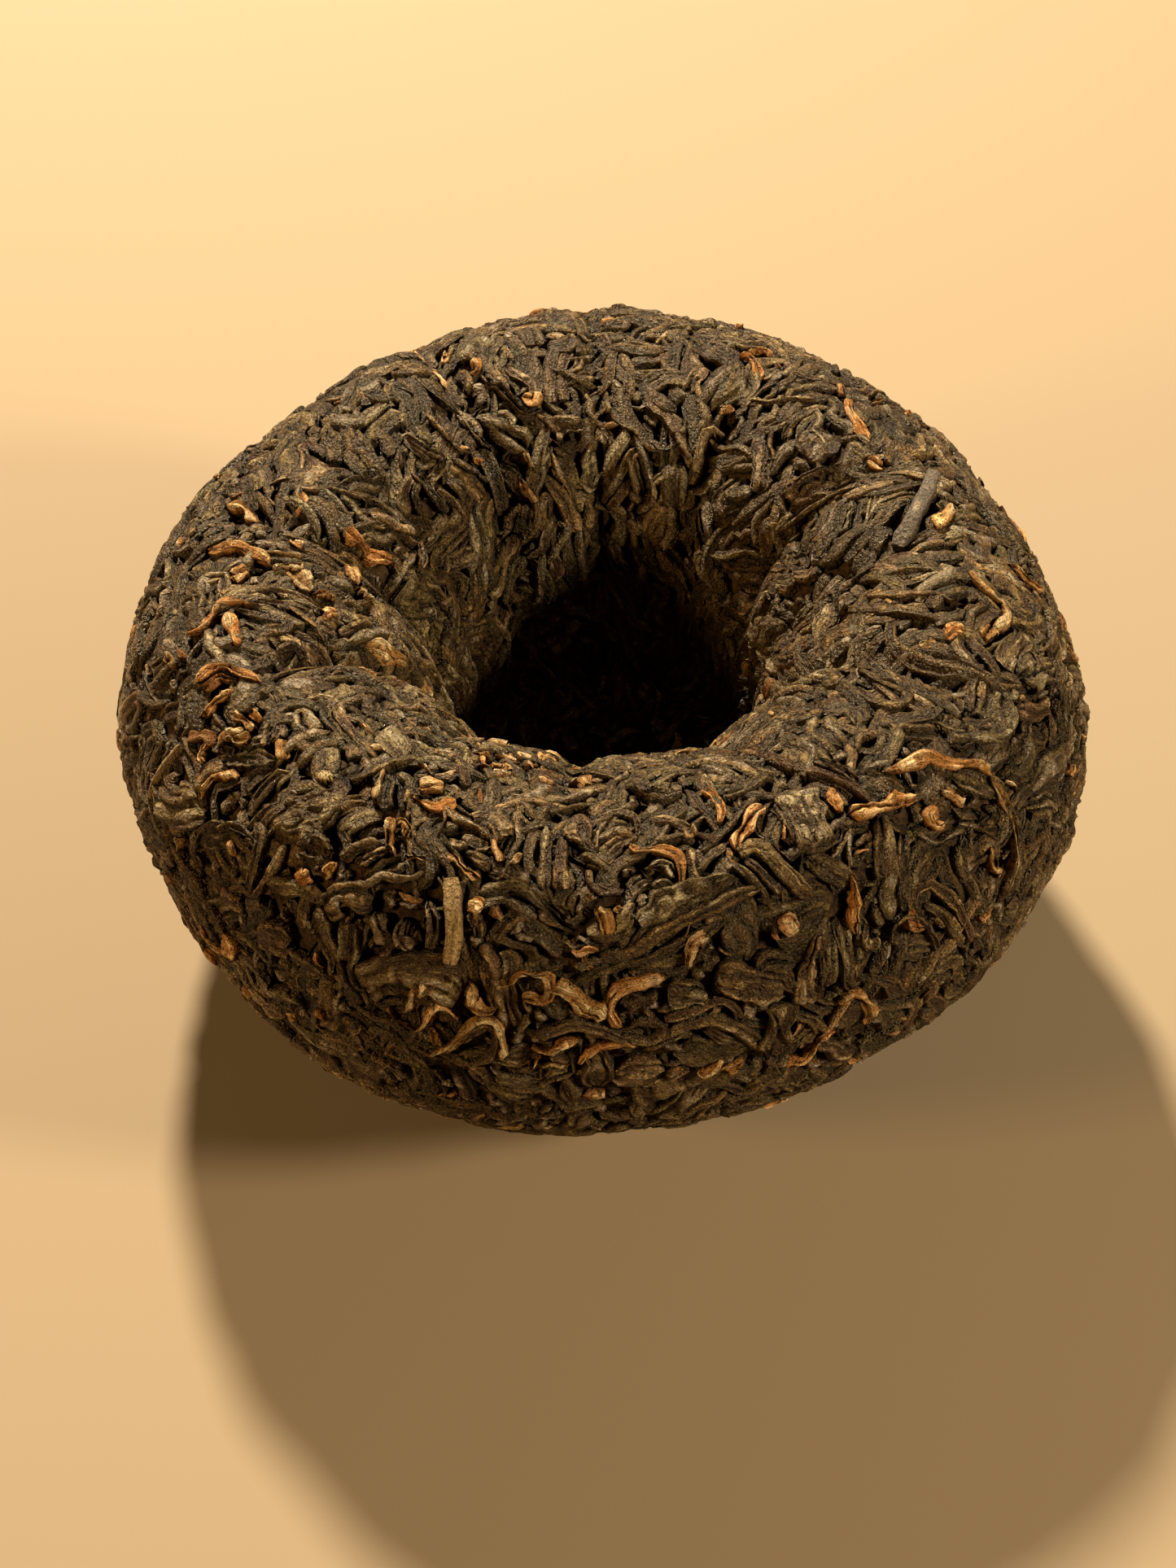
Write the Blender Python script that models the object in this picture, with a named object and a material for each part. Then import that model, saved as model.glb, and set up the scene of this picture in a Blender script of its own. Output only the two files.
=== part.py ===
"""A tuocha: a nest-shaped cake of compressed dark tea, resting on its dome with the hollow facing up.

Units are metres and +Z is up. The origin is the middle of the small flat spot that the dome stands on.
The cake is one solid. Its skin is a turned profile (hollow, rolled rim, dome) with a slightly uneven
outline and a funnel creased by the gathers of the cloth it was pressed in. The largest leaves that show
are fused on as flat, tapered strips that follow the skin over a core that lies just inside it.
"""

import math
import random

import bmesh
import bpy
from mathutils import Matrix, Vector

MM = 0.001

# Driving dimensions of the cake.
OUTER_RADIUS = 41.5 * MM
HEIGHT = 42.5 * MM

# The profile, in shares of those two.
EQUATOR_HEIGHT = 0.62 * OUTER_RADIUS
CREST_RADIUS = 0.68 * OUTER_RADIUS
THROAT_RADIUS = 0.285 * OUTER_RADIUS
THROAT_HEIGHT = HEIGHT - 0.56 * OUTER_RADIUS
PIT_RADIUS = 0.22 * OUTER_RADIUS
PIT_FLOOR_HEIGHT = 0.32 * HEIGHT
PIT_FLOOR_ROUND = 0.12 * OUTER_RADIUS
FOOT_RADIUS = 0.205 * OUTER_RADIUS
SHOULDER_FULLNESS = 2.1  # 2 would be an ellipse, and more is fuller
DOME_FULLNESS = 2.2
QUARTER_STEPS = 48

# Uneven outline: (waves round the cake, height of a wave, azimuth of its first top in degrees).
OUTLINE_WAVES = (
    (1, 0.18 * MM, 57.0),
    (2, 0.22 * MM, 88.0),
    (3, 0.76 * MM, -30.0),
    (4, 0.48 * MM, -13.0),
)

# Creases of the funnel: (azimuth and half width in degrees, depth, share of the outer radius it reaches).
CREASES = (
    (3.0, 7.0, 1.2 * MM, 0.62),
    (27.0, 8.0, 1.6 * MM, 0.66),
    (60.0, 7.0, 1.3 * MM, 0.66),
    (90.0, 6.0, 1.2 * MM, 0.76),
    (120.0, 8.0, 2.1 * MM, 0.70),
    (149.0, 7.0, 1.3 * MM, 0.62),
    (173.0, 8.0, 1.8 * MM, 0.66),
    (204.0, 8.0, 2.4 * MM, 0.90),
    (237.0, 7.0, 0.9 * MM, 0.62),
    (265.0, 7.0, 1.1 * MM, 0.62),
    (298.0, 7.0, 1.3 * MM, 0.66),
    (335.0, 8.0, 2.6 * MM, 0.94),
)
CREASE_FADE = 0.20  # share of the outer radius over which a crease runs out
CREASE_BOTTOM = 0.4  # share of the way from the pit's middle to the throat where a crease begins
CREASE_SHARPNESS = 1.5

# The core, and the leaves that stand out of it.
CORE_DEPTH = 0.9 * MM
CORE_AZIMUTHS = 40
CORE_SPACING = 5.2 * MM
LEAF_SINK = 0.7 * MM
LEAF_PROUD = (-0.1 * MM, 0.5 * MM)
FOOT_BLEND = 5.0 * MM  # run over which the core comes out to the skin beside the foot

# A leaf's cross-section: (place across it, from -1 to 1, and whether that corner is on top).
FLAT_SECTION = ((-1.0, False), (-0.6, True), (0.6, True), (1.0, False))
ROLLED_SECTION = ((-1.0, False), (0.0, True), (1.0, False))

# Leaves, largest first: (how many, length, width, segments, least distance between middles, section).
LEAF_SIZES = (
    (28, 15.0 * MM, 4.2 * MM, 4, 12.0 * MM, FLAT_SECTION),
    (48, 12.0 * MM, 3.2 * MM, 4, 8.0 * MM, ROLLED_SECTION),
    (62, 9.0 * MM, 2.6 * MM, 3, 5.0 * MM, ROLLED_SECTION),
)
SIZE_SPREAD = 0.2
LEAF_BEND = 0.9  # most that a leaf turns along its length, in radians
LEAF_TIP = 0.35  # width of its ends over its whole width
LEAF_BLUNTNESS = 0.7  # lower is blunter
TIP_DROP = 0.55 * MM  # the ends lie this much lower than its middle
FUNNEL_STRAY = 0.3  # most that a leaf in the funnel strays from the slope, in radians
FOOT_MARGIN = 7.0 * MM
FOOT_CLEARANCE = 0.3 * MM  # no leaf comes closer to the ground than this
PIT_MARGIN = 1.0 * MM
TRIES = 4000
SEED = 20


def clear_scene():
    for obj in list(bpy.data.objects):
        bpy.data.objects.remove(obj)


def turned_profile():
    """(radius, height) points from the middle of the pit's floor, over the rim, to the edge of the foot."""
    quarter = [math.pi / 2 * i / QUARTER_STEPS for i in range(QUARTER_STEPS + 1)]
    pit_side = PIT_FLOOR_HEIGHT + PIT_FLOOR_ROUND
    points = [(PIT_RADIUS * math.sin(a), pit_side - PIT_FLOOR_ROUND * math.cos(a)) for a in quarter]
    for a in quarter:
        reach = CREST_RADIUS - (CREST_RADIUS - THROAT_RADIUS) * math.cos(a)
        points.append((reach, THROAT_HEIGHT + (HEIGHT - THROAT_HEIGHT) * math.sin(a)))
    for a in quarter[1:]:
        out = max(math.sin(a), 0.0) ** (2 / SHOULDER_FULLNESS)
        up = max(math.cos(a), 0.0) ** (2 / SHOULDER_FULLNESS)
        points.append((CREST_RADIUS + (OUTER_RADIUS - CREST_RADIUS) * out,
                       EQUATOR_HEIGHT + (HEIGHT - EQUATOR_HEIGHT) * up))
    for a in quarter[1:]:
        out = max(math.cos(a), 0.0) ** (2 / DOME_FULLNESS)
        down = max(math.sin(a), 0.0) ** (2 / DOME_FULLNESS)
        points.append((FOOT_RADIUS + (OUTER_RADIUS - FOOT_RADIUS) * out, EQUATOR_HEIGHT * (1 - down)))
    return points


class Skin:
    """The cake's skin. A place on it is an azimuth and a run, the distance along the profile."""

    def __init__(self):
        self.profile = turned_profile()
        self.runs = [0.0]
        for (r0, z0), (r1, z1) in zip(self.profile, self.profile[1:]):
            self.runs.append(self.runs[-1] + math.hypot(r1 - r0, z1 - z0))
        self.length = self.runs[-1]
        self.throat_run = self.runs[QUARTER_STEPS + 1]
        self.crest_run = self.runs[2 * QUARTER_STEPS + 1]

    def at(self, run):
        """Radius, height and the outward normal (out, up) at a run."""
        run = min(max(run, 0.0), self.length)
        low, high = 0, len(self.runs) - 1
        while high - low > 1:
            middle = (low + high) // 2
            if self.runs[middle] <= run:
                low = middle
            else:
                high = middle
        (r0, z0), (r1, z1) = self.profile[low], self.profile[high]
        span = self.runs[high] - self.runs[low]
        share = (run - self.runs[low]) / span
        normal = (-(z1 - z0) / span, (r1 - r0) / span)
        return r0 + (r1 - r0) * share, z0 + (z1 - z0) * share, normal

    def crease(self, run, radius, azimuth):
        """How deep the creases cut here. They fade below the throat and outside the crest."""
        if run > self.crest_run + HEIGHT - EQUATOR_HEIGHT:
            return 0.0
        below = min(max(run / self.throat_run - CREASE_BOTTOM, 0.0), 1.0)
        depth = 0.0
        for middle, half_width, deepest, reach in CREASES:
            away = math.degrees(math.remainder(azimuth - math.radians(middle), 2 * math.pi)) / half_width
            inside = (reach + CREASE_FADE - radius / OUTER_RADIUS) / CREASE_FADE
            depth += deepest * math.exp(-abs(away) ** CREASE_SHARPNESS) * min(max(inside, 0.0), 1.0)
        return depth * below

    def point(self, run, azimuth, lift):
        """The point at a height over the skin."""
        radius, height, (out, up) = self.at(run)
        wave = sum(top * math.cos(count * (azimuth - math.radians(first))) for count, top, first in OUTLINE_WAVES)
        lift -= self.crease(run, radius, azimuth)
        reach = radius + out * lift + wave * (radius / OUTER_RADIUS) ** 2
        return Vector((reach * math.cos(azimuth), reach * math.sin(azimuth), height + up * lift))


def mesh_object(name, points, faces):
    mesh = bpy.data.meshes.new(name)
    mesh.from_pydata([tuple(p) for p in points], [], faces)
    obj = bpy.data.objects.new(name, mesh)
    bpy.context.scene.collection.objects.link(obj)
    return obj


def core(skin):
    """The turned body just inside the skin, out to the skin at the foot."""
    rings = round(skin.length / CORE_SPACING)
    points = [skin.point(0.0, 0.0, -CORE_DEPTH)]
    faces = []
    for i in range(1, rings + 1):
        run = skin.length * i / rings
        depth = CORE_DEPTH * min((skin.length - run) / FOOT_BLEND, 1.0)
        for j in range(CORE_AZIMUTHS):
            azimuth = 2 * math.pi * (j + 0.5 * (i % 2)) / CORE_AZIMUTHS
            points.append(skin.point(run, azimuth, -depth))
    for point in points[-CORE_AZIMUTHS:]:
        point.z = 0.0
    for j in range(CORE_AZIMUTHS):
        faces.append((0, 1 + j, 1 + (j + 1) % CORE_AZIMUTHS))
    for i in range(rings - 1):
        near, far = 1 + i * CORE_AZIMUTHS, 1 + (i + 1) * CORE_AZIMUTHS
        for j in range(CORE_AZIMUTHS):
            k = (j + 1) % CORE_AZIMUTHS
            if i % 2:
                faces.append((near + j, far + j, far + k))
                faces.append((near + j, far + k, near + k))
            else:
                faces.append((near + j, far + j, near + k))
                faces.append((far + j, far + k, near + k))
    last = 1 + (rings - 1) * CORE_AZIMUTHS
    points.append(Vector((0.0, 0.0, 0.0)))
    for j in range(CORE_AZIMUTHS):
        faces.append((last + j, len(points) - 1, last + (j + 1) % CORE_AZIMUTHS))
    return mesh_object("core", points, faces)


def leaf(skin, draw, run, azimuth, heading, length, width, segments, section):
    """One tapered strip that follows the skin from end to end through its middle."""
    bend = draw.uniform(-LEAF_BEND, LEAF_BEND)
    proud = draw.uniform(*LEAF_PROUD)
    step = length / segments
    heading -= bend / 2
    run -= math.cos(heading) * length / 2
    radius = max(skin.at(run)[0], PIT_RADIUS)
    azimuth -= math.sin(heading) * length / 2 / radius
    points = []
    for i in range(segments + 1):
        share = i / segments
        fullness = math.sin(math.pi * share) ** LEAF_BLUNTNESS
        radius = max(skin.at(run)[0], PIT_RADIUS)
        top = proud - (1 - fullness) * TIP_DROP
        half_width = width / 2 * (LEAF_TIP + (1 - LEAF_TIP) * fullness)
        across_run, across_azimuth = -math.sin(heading), math.cos(heading) / radius
        for place, on_top in section:
            off = place * half_width
            lift = top if on_top else -CORE_DEPTH - LEAF_SINK
            corner = skin.point(run + off * across_run, azimuth + off * across_azimuth, lift)
            corner.z = max(corner.z, FOOT_CLEARANCE)
            points.append(corner)
        run += math.cos(heading) * step
        azimuth += math.sin(heading) * step / radius
        heading += bend / segments
    corners = len(section)
    end = corners * segments
    faces = []
    for i in range(0, end, corners):
        for j in range(corners):
            a, b = i + j, i + (j + 1) % corners
            faces.append((a, b, b + corners))
            faces.append((a, b + corners, a + corners))
    for j in range(1, corners - 1):
        faces.append((0, j + 1, j))
        faces.append((end, end + j, end + j + 1))
    return mesh_object("leaf", points, faces)


def scatter_leaves(skin):
    """Leaves of each size, largest first, spread evenly: along the slope in the funnel, any way elsewhere."""
    draw = random.Random(SEED)
    leaves = []
    for count, length, width, segments, apart, section in LEAF_SIZES:
        middles = []
        for _ in range(TRIES):
            run = draw.uniform(skin.throat_run - PIT_MARGIN + length / 2, skin.length - FOOT_MARGIN)
            azimuth = draw.uniform(0.0, 2 * math.pi)
            place = skin.point(run, azimuth, 0.0)
            if draw.random() > skin.at(run)[0] / OUTER_RADIUS:
                continue
            if any((place - other).length < apart for other in middles):
                continue
            heading = draw.uniform(-FUNNEL_STRAY, FUNNEL_STRAY)
            if run > skin.crest_run - length / 3:
                heading = draw.uniform(0.0, 2 * math.pi)
            size = 1 + draw.uniform(-SIZE_SPREAD, SIZE_SPREAD)
            leaves.append(leaf(skin, draw, run, azimuth, heading, length * size, width * size, segments, section))
            middles.append(place)
            if len(middles) == count:
                break
    return leaves


def fuse(body, pieces):
    """One Boolean union of the body and the pieces, applied."""
    group = bpy.data.collections.new("pieces")
    for piece in pieces:
        group.objects.link(piece)
    union = body.modifiers.new("union", "BOOLEAN")
    union.operation = "UNION"
    union.operand_type = "COLLECTION"
    union.collection = group
    union.solver = "EXACT"
    evaluated = body.evaluated_get(bpy.context.evaluated_depsgraph_get())
    fused = bpy.data.meshes.new_from_object(evaluated)
    body.modifiers.clear()
    body.data = fused
    for piece in pieces:
        bpy.data.objects.remove(piece)
    bpy.data.collections.remove(group)


def keep_main_body(obj):
    """Drop loose scraps and fill sealed hollows: only what is joined to the mesh's lowest point stays."""
    shape = bmesh.new()
    shape.from_mesh(obj.data)
    bmesh.ops.triangulate(shape, faces=shape.faces)
    reached = set()
    waiting = [min(shape.verts, key=lambda vert: (vert.co.z, vert.co.x, vert.co.y))]
    while waiting:
        vert = waiting.pop()
        if vert in reached:
            continue
        reached.add(vert)
        waiting.extend(edge.other_vert(vert) for edge in vert.link_edges)
    bmesh.ops.delete(shape, geom=[vert for vert in shape.verts if vert not in reached], context="VERTS")
    shape.to_mesh(obj.data)
    shape.free()


def centre_over_origin(obj):
    """Move the mesh so that the middle of its bounding box is over the origin, standing on Z = 0."""
    low, high = Vector(obj.bound_box[0]), Vector(obj.bound_box[6])
    middle = (low + high) / 2
    obj.data.transform(Matrix.Translation((-middle.x, -middle.y, -low.z)))


def tea_material():
    """Compressed, ripened leaf: dark brown and matt."""
    material = bpy.data.materials.new("tea_leaf")
    material.use_nodes = True
    surface = material.node_tree.nodes["Principled BSDF"]
    surface.inputs["Base Color"].default_value = (0.062, 0.034, 0.016, 1.0)
    surface.inputs["Roughness"].default_value = 0.68
    surface.inputs["Metallic"].default_value = 0.0
    return material


def main():
    clear_scene()
    skin = Skin()
    tuocha = core(skin)
    fuse(tuocha, scatter_leaves(skin))
    keep_main_body(tuocha)
    centre_over_origin(tuocha)
    tuocha.name = "tuocha"
    tuocha.data.name = "tuocha"
    tuocha.data.materials.clear()
    tuocha.data.materials.append(tea_material())


main()
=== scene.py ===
"""The looks of the tuocha: thousands of pressed tea leaves over a dark core, in place of the plain solid.

Lengths are in millimetres until a mesh is made. A place on the cake's skin is an azimuth (from +X, counter-
clockwise, the camera at 270 degrees) and a run, the distance along the turned profile from the middle of the
hollow's floor, over the rim, to the middle of the foot. Lift is the height over the skin.
"""

import math

import bpy
import numpy as np
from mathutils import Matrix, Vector


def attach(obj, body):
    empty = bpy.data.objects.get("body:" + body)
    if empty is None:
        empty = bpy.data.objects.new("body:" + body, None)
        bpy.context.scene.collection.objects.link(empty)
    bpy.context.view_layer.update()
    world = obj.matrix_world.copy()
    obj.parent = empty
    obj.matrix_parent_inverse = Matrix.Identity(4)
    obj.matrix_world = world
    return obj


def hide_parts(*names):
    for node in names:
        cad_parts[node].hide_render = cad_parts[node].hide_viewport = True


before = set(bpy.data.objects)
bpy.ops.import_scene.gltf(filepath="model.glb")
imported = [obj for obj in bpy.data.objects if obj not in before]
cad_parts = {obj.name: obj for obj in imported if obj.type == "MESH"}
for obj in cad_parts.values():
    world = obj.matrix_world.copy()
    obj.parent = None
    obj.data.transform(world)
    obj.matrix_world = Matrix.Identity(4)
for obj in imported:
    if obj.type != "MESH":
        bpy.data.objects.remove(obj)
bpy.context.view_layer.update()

MM = 0.001

# ---------------------------------------------------------------- the cake's skin, as the solid has it

OUTER_RADIUS = 41.5
HEIGHT = 42.5
EQUATOR_HEIGHT = 0.62 * OUTER_RADIUS
CREST_RADIUS = 0.68 * OUTER_RADIUS
THROAT_RADIUS = 0.285 * OUTER_RADIUS
THROAT_HEIGHT = HEIGHT - 0.56 * OUTER_RADIUS
PIT_RADIUS = 0.22 * OUTER_RADIUS
PIT_FLOOR_HEIGHT = 0.32 * HEIGHT
PIT_FLOOR_ROUND = 0.12 * OUTER_RADIUS
FOOT_RADIUS = 0.205 * OUTER_RADIUS
SHOULDER_FULLNESS = 2.1
DOME_FULLNESS = 2.2
QUARTER_STEPS = 48

# (waves round the cake, height of a wave, azimuth of its first top in degrees)
OUTLINE_WAVES = ((1, 0.18, 57.0), (2, 0.22, 88.0), (3, 0.76, -30.0), (4, 0.48, -13.0))

# Gathers of the cloth it was pressed in: azimuths at the throat and at the rim, half width, depth, and reach,
# the share of the outer radius at which a gather runs out.
GATHERS = (
    (1.0, 5.0, 1.3, 1.0, 0.60),
    (29.0, 26.0, 1.5, 1.3, 0.66),
    (61.0, 59.0, 1.3, 1.1, 0.62),
    (89.0, 91.0, 0.9, 1.3, 0.76),
    (121.0, 119.0, 1.6, 1.8, 0.70),
    (149.0, 149.0, 1.3, 1.1, 0.62),
    (175.0, 170.0, 1.5, 1.5, 0.66),
    (203.0, 206.0, 1.3, 1.7, 0.60),
    (237.0, 238.0, 1.2, 0.7, 0.55),
    (265.0, 264.0, 1.2, 1.0, 0.56),
    (298.0, 300.0, 1.3, 1.2, 0.60),
    (336.0, 333.0, 1.4, 1.9, 0.66),
)
GATHER_FADE = 0.20
GATHER_BOTTOM = 0.4
GATHER_SHARPNESS = 1.4

# Uneven pressing: (wavelength, height).
LUMPS = ((11.0, 0.45), (5.5, 0.22), (2.8, 0.08))
CALM_SPAN, CALM_PAST = 8.0, 2.0  # lumps fade over this span, which ends this far past the edge of the foot
FOOT_SLACK = 0.01  # the solid's corners below this height belong to its flat foot
FLOOR_GAP = 0.06  # nothing comes closer to the ground than this


class Noise:
    """Smooth lattice noise from -1 to 1, read at arrays of points."""

    SIZE = 32

    def __init__(self, seed):
        self.lattice = np.random.default_rng(seed).uniform(-1, 1, (self.SIZE,) * 3)

    def __call__(self, points, wavelength):
        scaled = np.asarray(points) / wavelength
        cell = np.floor(scaled).astype(int)
        part = scaled - cell
        part = part * part * (3 - 2 * part)
        total = 0.0
        for corner in np.ndindex(2, 2, 2):
            index = tuple((cell[..., k] + corner[k]) % self.SIZE for k in range(3))
            weight = 1.0
            for k in range(3):
                weight = weight * (part[..., k] if corner[k] else 1 - part[..., k])
            total = total + self.lattice[index] * weight
        return total


def turned_profile():
    """Radii and heights from the middle of the pit's floor to the middle of the foot."""
    a = np.linspace(0, math.pi / 2, QUARTER_STEPS + 1)
    sine, cosine = np.sin(a), np.clip(np.cos(a), 0, 1)
    pit = PIT_RADIUS * sine, PIT_FLOOR_HEIGHT + PIT_FLOOR_ROUND * (1 - cosine)
    funnel = (CREST_RADIUS - (CREST_RADIUS - THROAT_RADIUS) * cosine,
              THROAT_HEIGHT + (HEIGHT - THROAT_HEIGHT) * sine)
    shoulder = (CREST_RADIUS + (OUTER_RADIUS - CREST_RADIUS) * sine ** (2 / SHOULDER_FULLNESS),
                EQUATOR_HEIGHT + (HEIGHT - EQUATOR_HEIGHT) * cosine ** (2 / SHOULDER_FULLNESS))
    dome = (FOOT_RADIUS + (OUTER_RADIUS - FOOT_RADIUS) * cosine ** (2 / DOME_FULLNESS),
            EQUATOR_HEIGHT * (1 - sine ** (2 / DOME_FULLNESS)))
    radii = np.concatenate([pit[0], funnel[0], shoulder[0][1:], dome[0][1:], [0.0]])
    heights = np.concatenate([pit[1], funnel[1], shoulder[1][1:], dome[1][1:], [0.0]])
    return radii, heights


class Skin:
    """Maps between points in space and places on the skin, for arrays of any shape."""

    STEP = 0.25
    LOOKUP_STEP = 0.25
    LOOKUP_LOW = (-1.0, -4.0)
    LOOKUP_HIGH = (48.0, 48.0)
    SMOOTH = 7

    def __init__(self, axis):
        self.axis = axis
        radii, heights = turned_profile()
        runs = np.concatenate([[0.0], np.cumsum(np.hypot(np.diff(radii), np.diff(heights)))])
        self.length = runs[-1]
        self.runs = np.linspace(0, self.length, int(self.length / self.STEP) + 1)
        self.radii = np.interp(self.runs, runs, radii)
        self.heights = np.interp(self.runs, runs, heights)
        out, up = -np.gradient(self.heights), np.gradient(self.radii)
        kernel = np.hanning(self.SMOOTH + 2)[1:-1]
        out = np.convolve(np.pad(out, self.SMOOTH // 2, "edge"), kernel / kernel.sum(), "valid")
        up = np.convolve(np.pad(up, self.SMOOTH // 2, "edge"), kernel / kernel.sum(), "valid")
        size = np.hypot(out, up)
        self.out, self.up = out / size, up / size
        self.throat_run = runs[QUARTER_STEPS + 1]
        self.crest_run = runs[2 * QUARTER_STEPS + 1]
        self.foot_run = runs[-2]
        self.lumps = [(Noise(40 + i), wavelength, height) for i, (wavelength, height) in enumerate(LUMPS)]
        self._make_lookup()

    def _make_lookup(self):
        across = np.arange(self.LOOKUP_LOW[0], self.LOOKUP_HIGH[0], self.LOOKUP_STEP)
        upward = np.arange(self.LOOKUP_LOW[1], self.LOOKUP_HIGH[1], self.LOOKUP_STEP)
        self.lookup = np.empty((len(across), len(upward)))
        for i, radius in enumerate(across):
            away = (self.radii - radius) ** 2 + (self.heights - upward[:, None]) ** 2
            self.lookup[i] = self.runs[away.argmin(1)]

    def radius(self, run):
        return np.interp(run, self.runs, self.radii)

    def chart(self, points):
        """The run and azimuth under each point."""
        x, y, z = points[..., 0] - self.axis[0], points[..., 1] - self.axis[1], points[..., 2]
        i = (np.hypot(x, y) - self.LOOKUP_LOW[0]) / self.LOOKUP_STEP
        j = (z - self.LOOKUP_LOW[1]) / self.LOOKUP_STEP
        i = np.clip(i, 0, self.lookup.shape[0] - 1.001)
        j = np.clip(j, 0, self.lookup.shape[1] - 1.001)
        i0, j0 = i.astype(int), j.astype(int)
        fi, fj = i - i0, j - j0
        run = ((self.lookup[i0, j0] * (1 - fi) + self.lookup[i0 + 1, j0] * fi) * (1 - fj)
               + (self.lookup[i0, j0 + 1] * (1 - fi) + self.lookup[i0 + 1, j0 + 1] * fi) * fj)
        return run, np.arctan2(y, x)

    def plain(self, run, azimuth):
        """Points and normals of the turned body, before gathers, lumps and the outline's waves."""
        radius, height = self.radius(run), np.interp(run, self.runs, self.heights)
        out, up = np.interp(run, self.runs, self.out), np.interp(run, self.runs, self.up)
        size = np.hypot(out, up)
        out, up = out / size, up / size
        c, s = np.cos(azimuth), np.sin(azimuth)
        points = np.stack([self.axis[0] + radius * c, self.axis[1] + radius * s, height + 0 * c], -1)
        return points, np.stack([out * c, out * s, up + 0 * c], -1)

    def gathered(self, run, azimuth):
        """How deep the gathers cut at a place."""
        radius = self.radius(run)
        rise = np.clip((radius - THROAT_RADIUS) / (CREST_RADIUS - THROAT_RADIUS), 0, 1.5)
        bottom = np.clip(run / self.throat_run - GATHER_BOTTOM, 0, 1)
        bottom = bottom * (run < self.crest_run + HEIGHT - EQUATOR_HEIGHT)
        depth = np.zeros(np.shape(run))
        for throat, rim, half_width, deepest, reach in GATHERS:
            middle = np.radians(throat + (rim - throat) * rise)
            away = np.abs((azimuth - middle + math.pi) % (2 * math.pi) - math.pi) * radius / half_width
            inside = np.clip((reach + GATHER_FADE - radius / OUTER_RADIUS) / GATHER_FADE, 0, 1)
            depth = depth + deepest * np.exp(-away ** GATHER_SHARPNESS) * inside
        return depth * bottom

    def point(self, run, azimuth, lift):
        """Points at a height over the real, uneven skin."""
        points, normals = self.plain(run, azimuth)
        uneven = lift - self.gathered(run, azimuth)
        calm = np.clip((self.foot_run + CALM_PAST - run) / CALM_SPAN, 0, 1)
        for noise, wavelength, height in self.lumps:
            uneven = uneven + noise(points, wavelength) * height * calm
        wave = 0.0
        for count, top, first in OUTLINE_WAVES:
            wave = wave + top * np.cos(count * (azimuth - math.radians(first)))
        wave = wave * (self.radius(run) / OUTER_RADIUS) ** 2
        points = points + normals * uneven[..., None]
        points[..., 0] += wave * np.cos(azimuth)
        points[..., 1] += wave * np.sin(azimuth)
        points[..., 2] = np.maximum(points[..., 2], FLOOR_GAP)
        return points


def foot_middle():
    """The middle of the solid's flat foot, which is where the cake's axis stands, in millimetres."""
    corners = np.array([v.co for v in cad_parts["tuocha"].data.vertices]) / MM
    foot = corners[corners[:, 2] < FOOT_SLACK]
    return foot[:, :2].mean(0)


SKIN = Skin(foot_middle())

# ---------------------------------------------------------------- the photo's view of the skin

CAMERA_ELEVATION = math.radians(47.96)
CAMERA_DISTANCE = 5.186 * OUTER_RADIUS
CAMERA_TARGET = np.array([-0.025 * OUTER_RADIUS, 0.0, 0.332 * OUTER_RADIUS]) + [*SKIN.axis, 0.0]
CAMERA_BACK = np.array([0.0, -math.cos(CAMERA_ELEVATION), math.sin(CAMERA_ELEVATION)])
CAMERA_RIGHT = np.array([1.0, 0.0, 0.0])
CAMERA_UP = np.cross(CAMERA_BACK, CAMERA_RIGHT)
FOCAL_PIXELS = 2900.0
FRAME_WIDTH, FRAME_HEIGHT = 1445.0, 1927.0
SENSOR = 36.0
CAST_NEAR, CAST_FAR, CAST_STEP = 160.0, 270.0, 0.25
SPLINE_STEPS = 8


def seen(pixels):
    """The places on the skin, run and azimuth, that show at some pixels of the photo's frame."""
    pixels = np.asarray(pixels, float)
    ray = (CAMERA_RIGHT * ((pixels[:, :1] - FRAME_WIDTH / 2) / FOCAL_PIXELS)
           + CAMERA_UP * ((FRAME_HEIGHT / 2 - pixels[:, 1:]) / FOCAL_PIXELS) - CAMERA_BACK)
    eye = CAMERA_TARGET + CAMERA_BACK * CAMERA_DISTANCE
    far = np.arange(CAST_NEAR, CAST_FAR, CAST_STEP)
    points = eye + ray[:, None, :] * far[:, None]
    run, azimuth = SKIN.chart(points)
    above = ((points - SKIN.point(run, azimuth, 0 * run)) * SKIN.plain(run, azimuth)[1]).sum(-1)
    hits = (above[:, :-1] > 0) & (above[:, 1:] <= 0)
    if not hits.any(1).all():
        raise ValueError(f"a pixel misses the cake: {pixels[~hits.any(1)].tolist()}")
    first = hits.argmax(1)
    pick = np.arange(len(pixels))
    return run[pick, first], azimuth[pick, first]


def smooth_line(corners, count):
    """Points at equal steps along a smooth curve through the corners."""
    corners = np.asarray(corners, float)
    padded = np.concatenate([2 * corners[:1] - corners[1:2], corners, 2 * corners[-1:] - corners[-2:-1]])
    t = np.linspace(0, 1, SPLINE_STEPS + 1)[:-1, None]
    spans = []
    for a, b, c, d in zip(padded, padded[1:], padded[2:], padded[3:]):
        spans.append(0.5 * (2 * b + (c - a) * t + (2 * a - 5 * b + 4 * c - d) * t ** 2
                            + (3 * b - a - 3 * c + d) * t ** 3))
    curve = np.concatenate(spans + [corners[-1:]])
    along = np.concatenate([[0], np.cumsum(np.linalg.norm(np.diff(curve, axis=0), axis=1))])
    even = np.linspace(0, along[-1], count)
    return np.stack([np.interp(even, along, curve[:, k]) for k in range(curve.shape[1])], -1)


# ---------------------------------------------------------------- what already covers the skin


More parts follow.
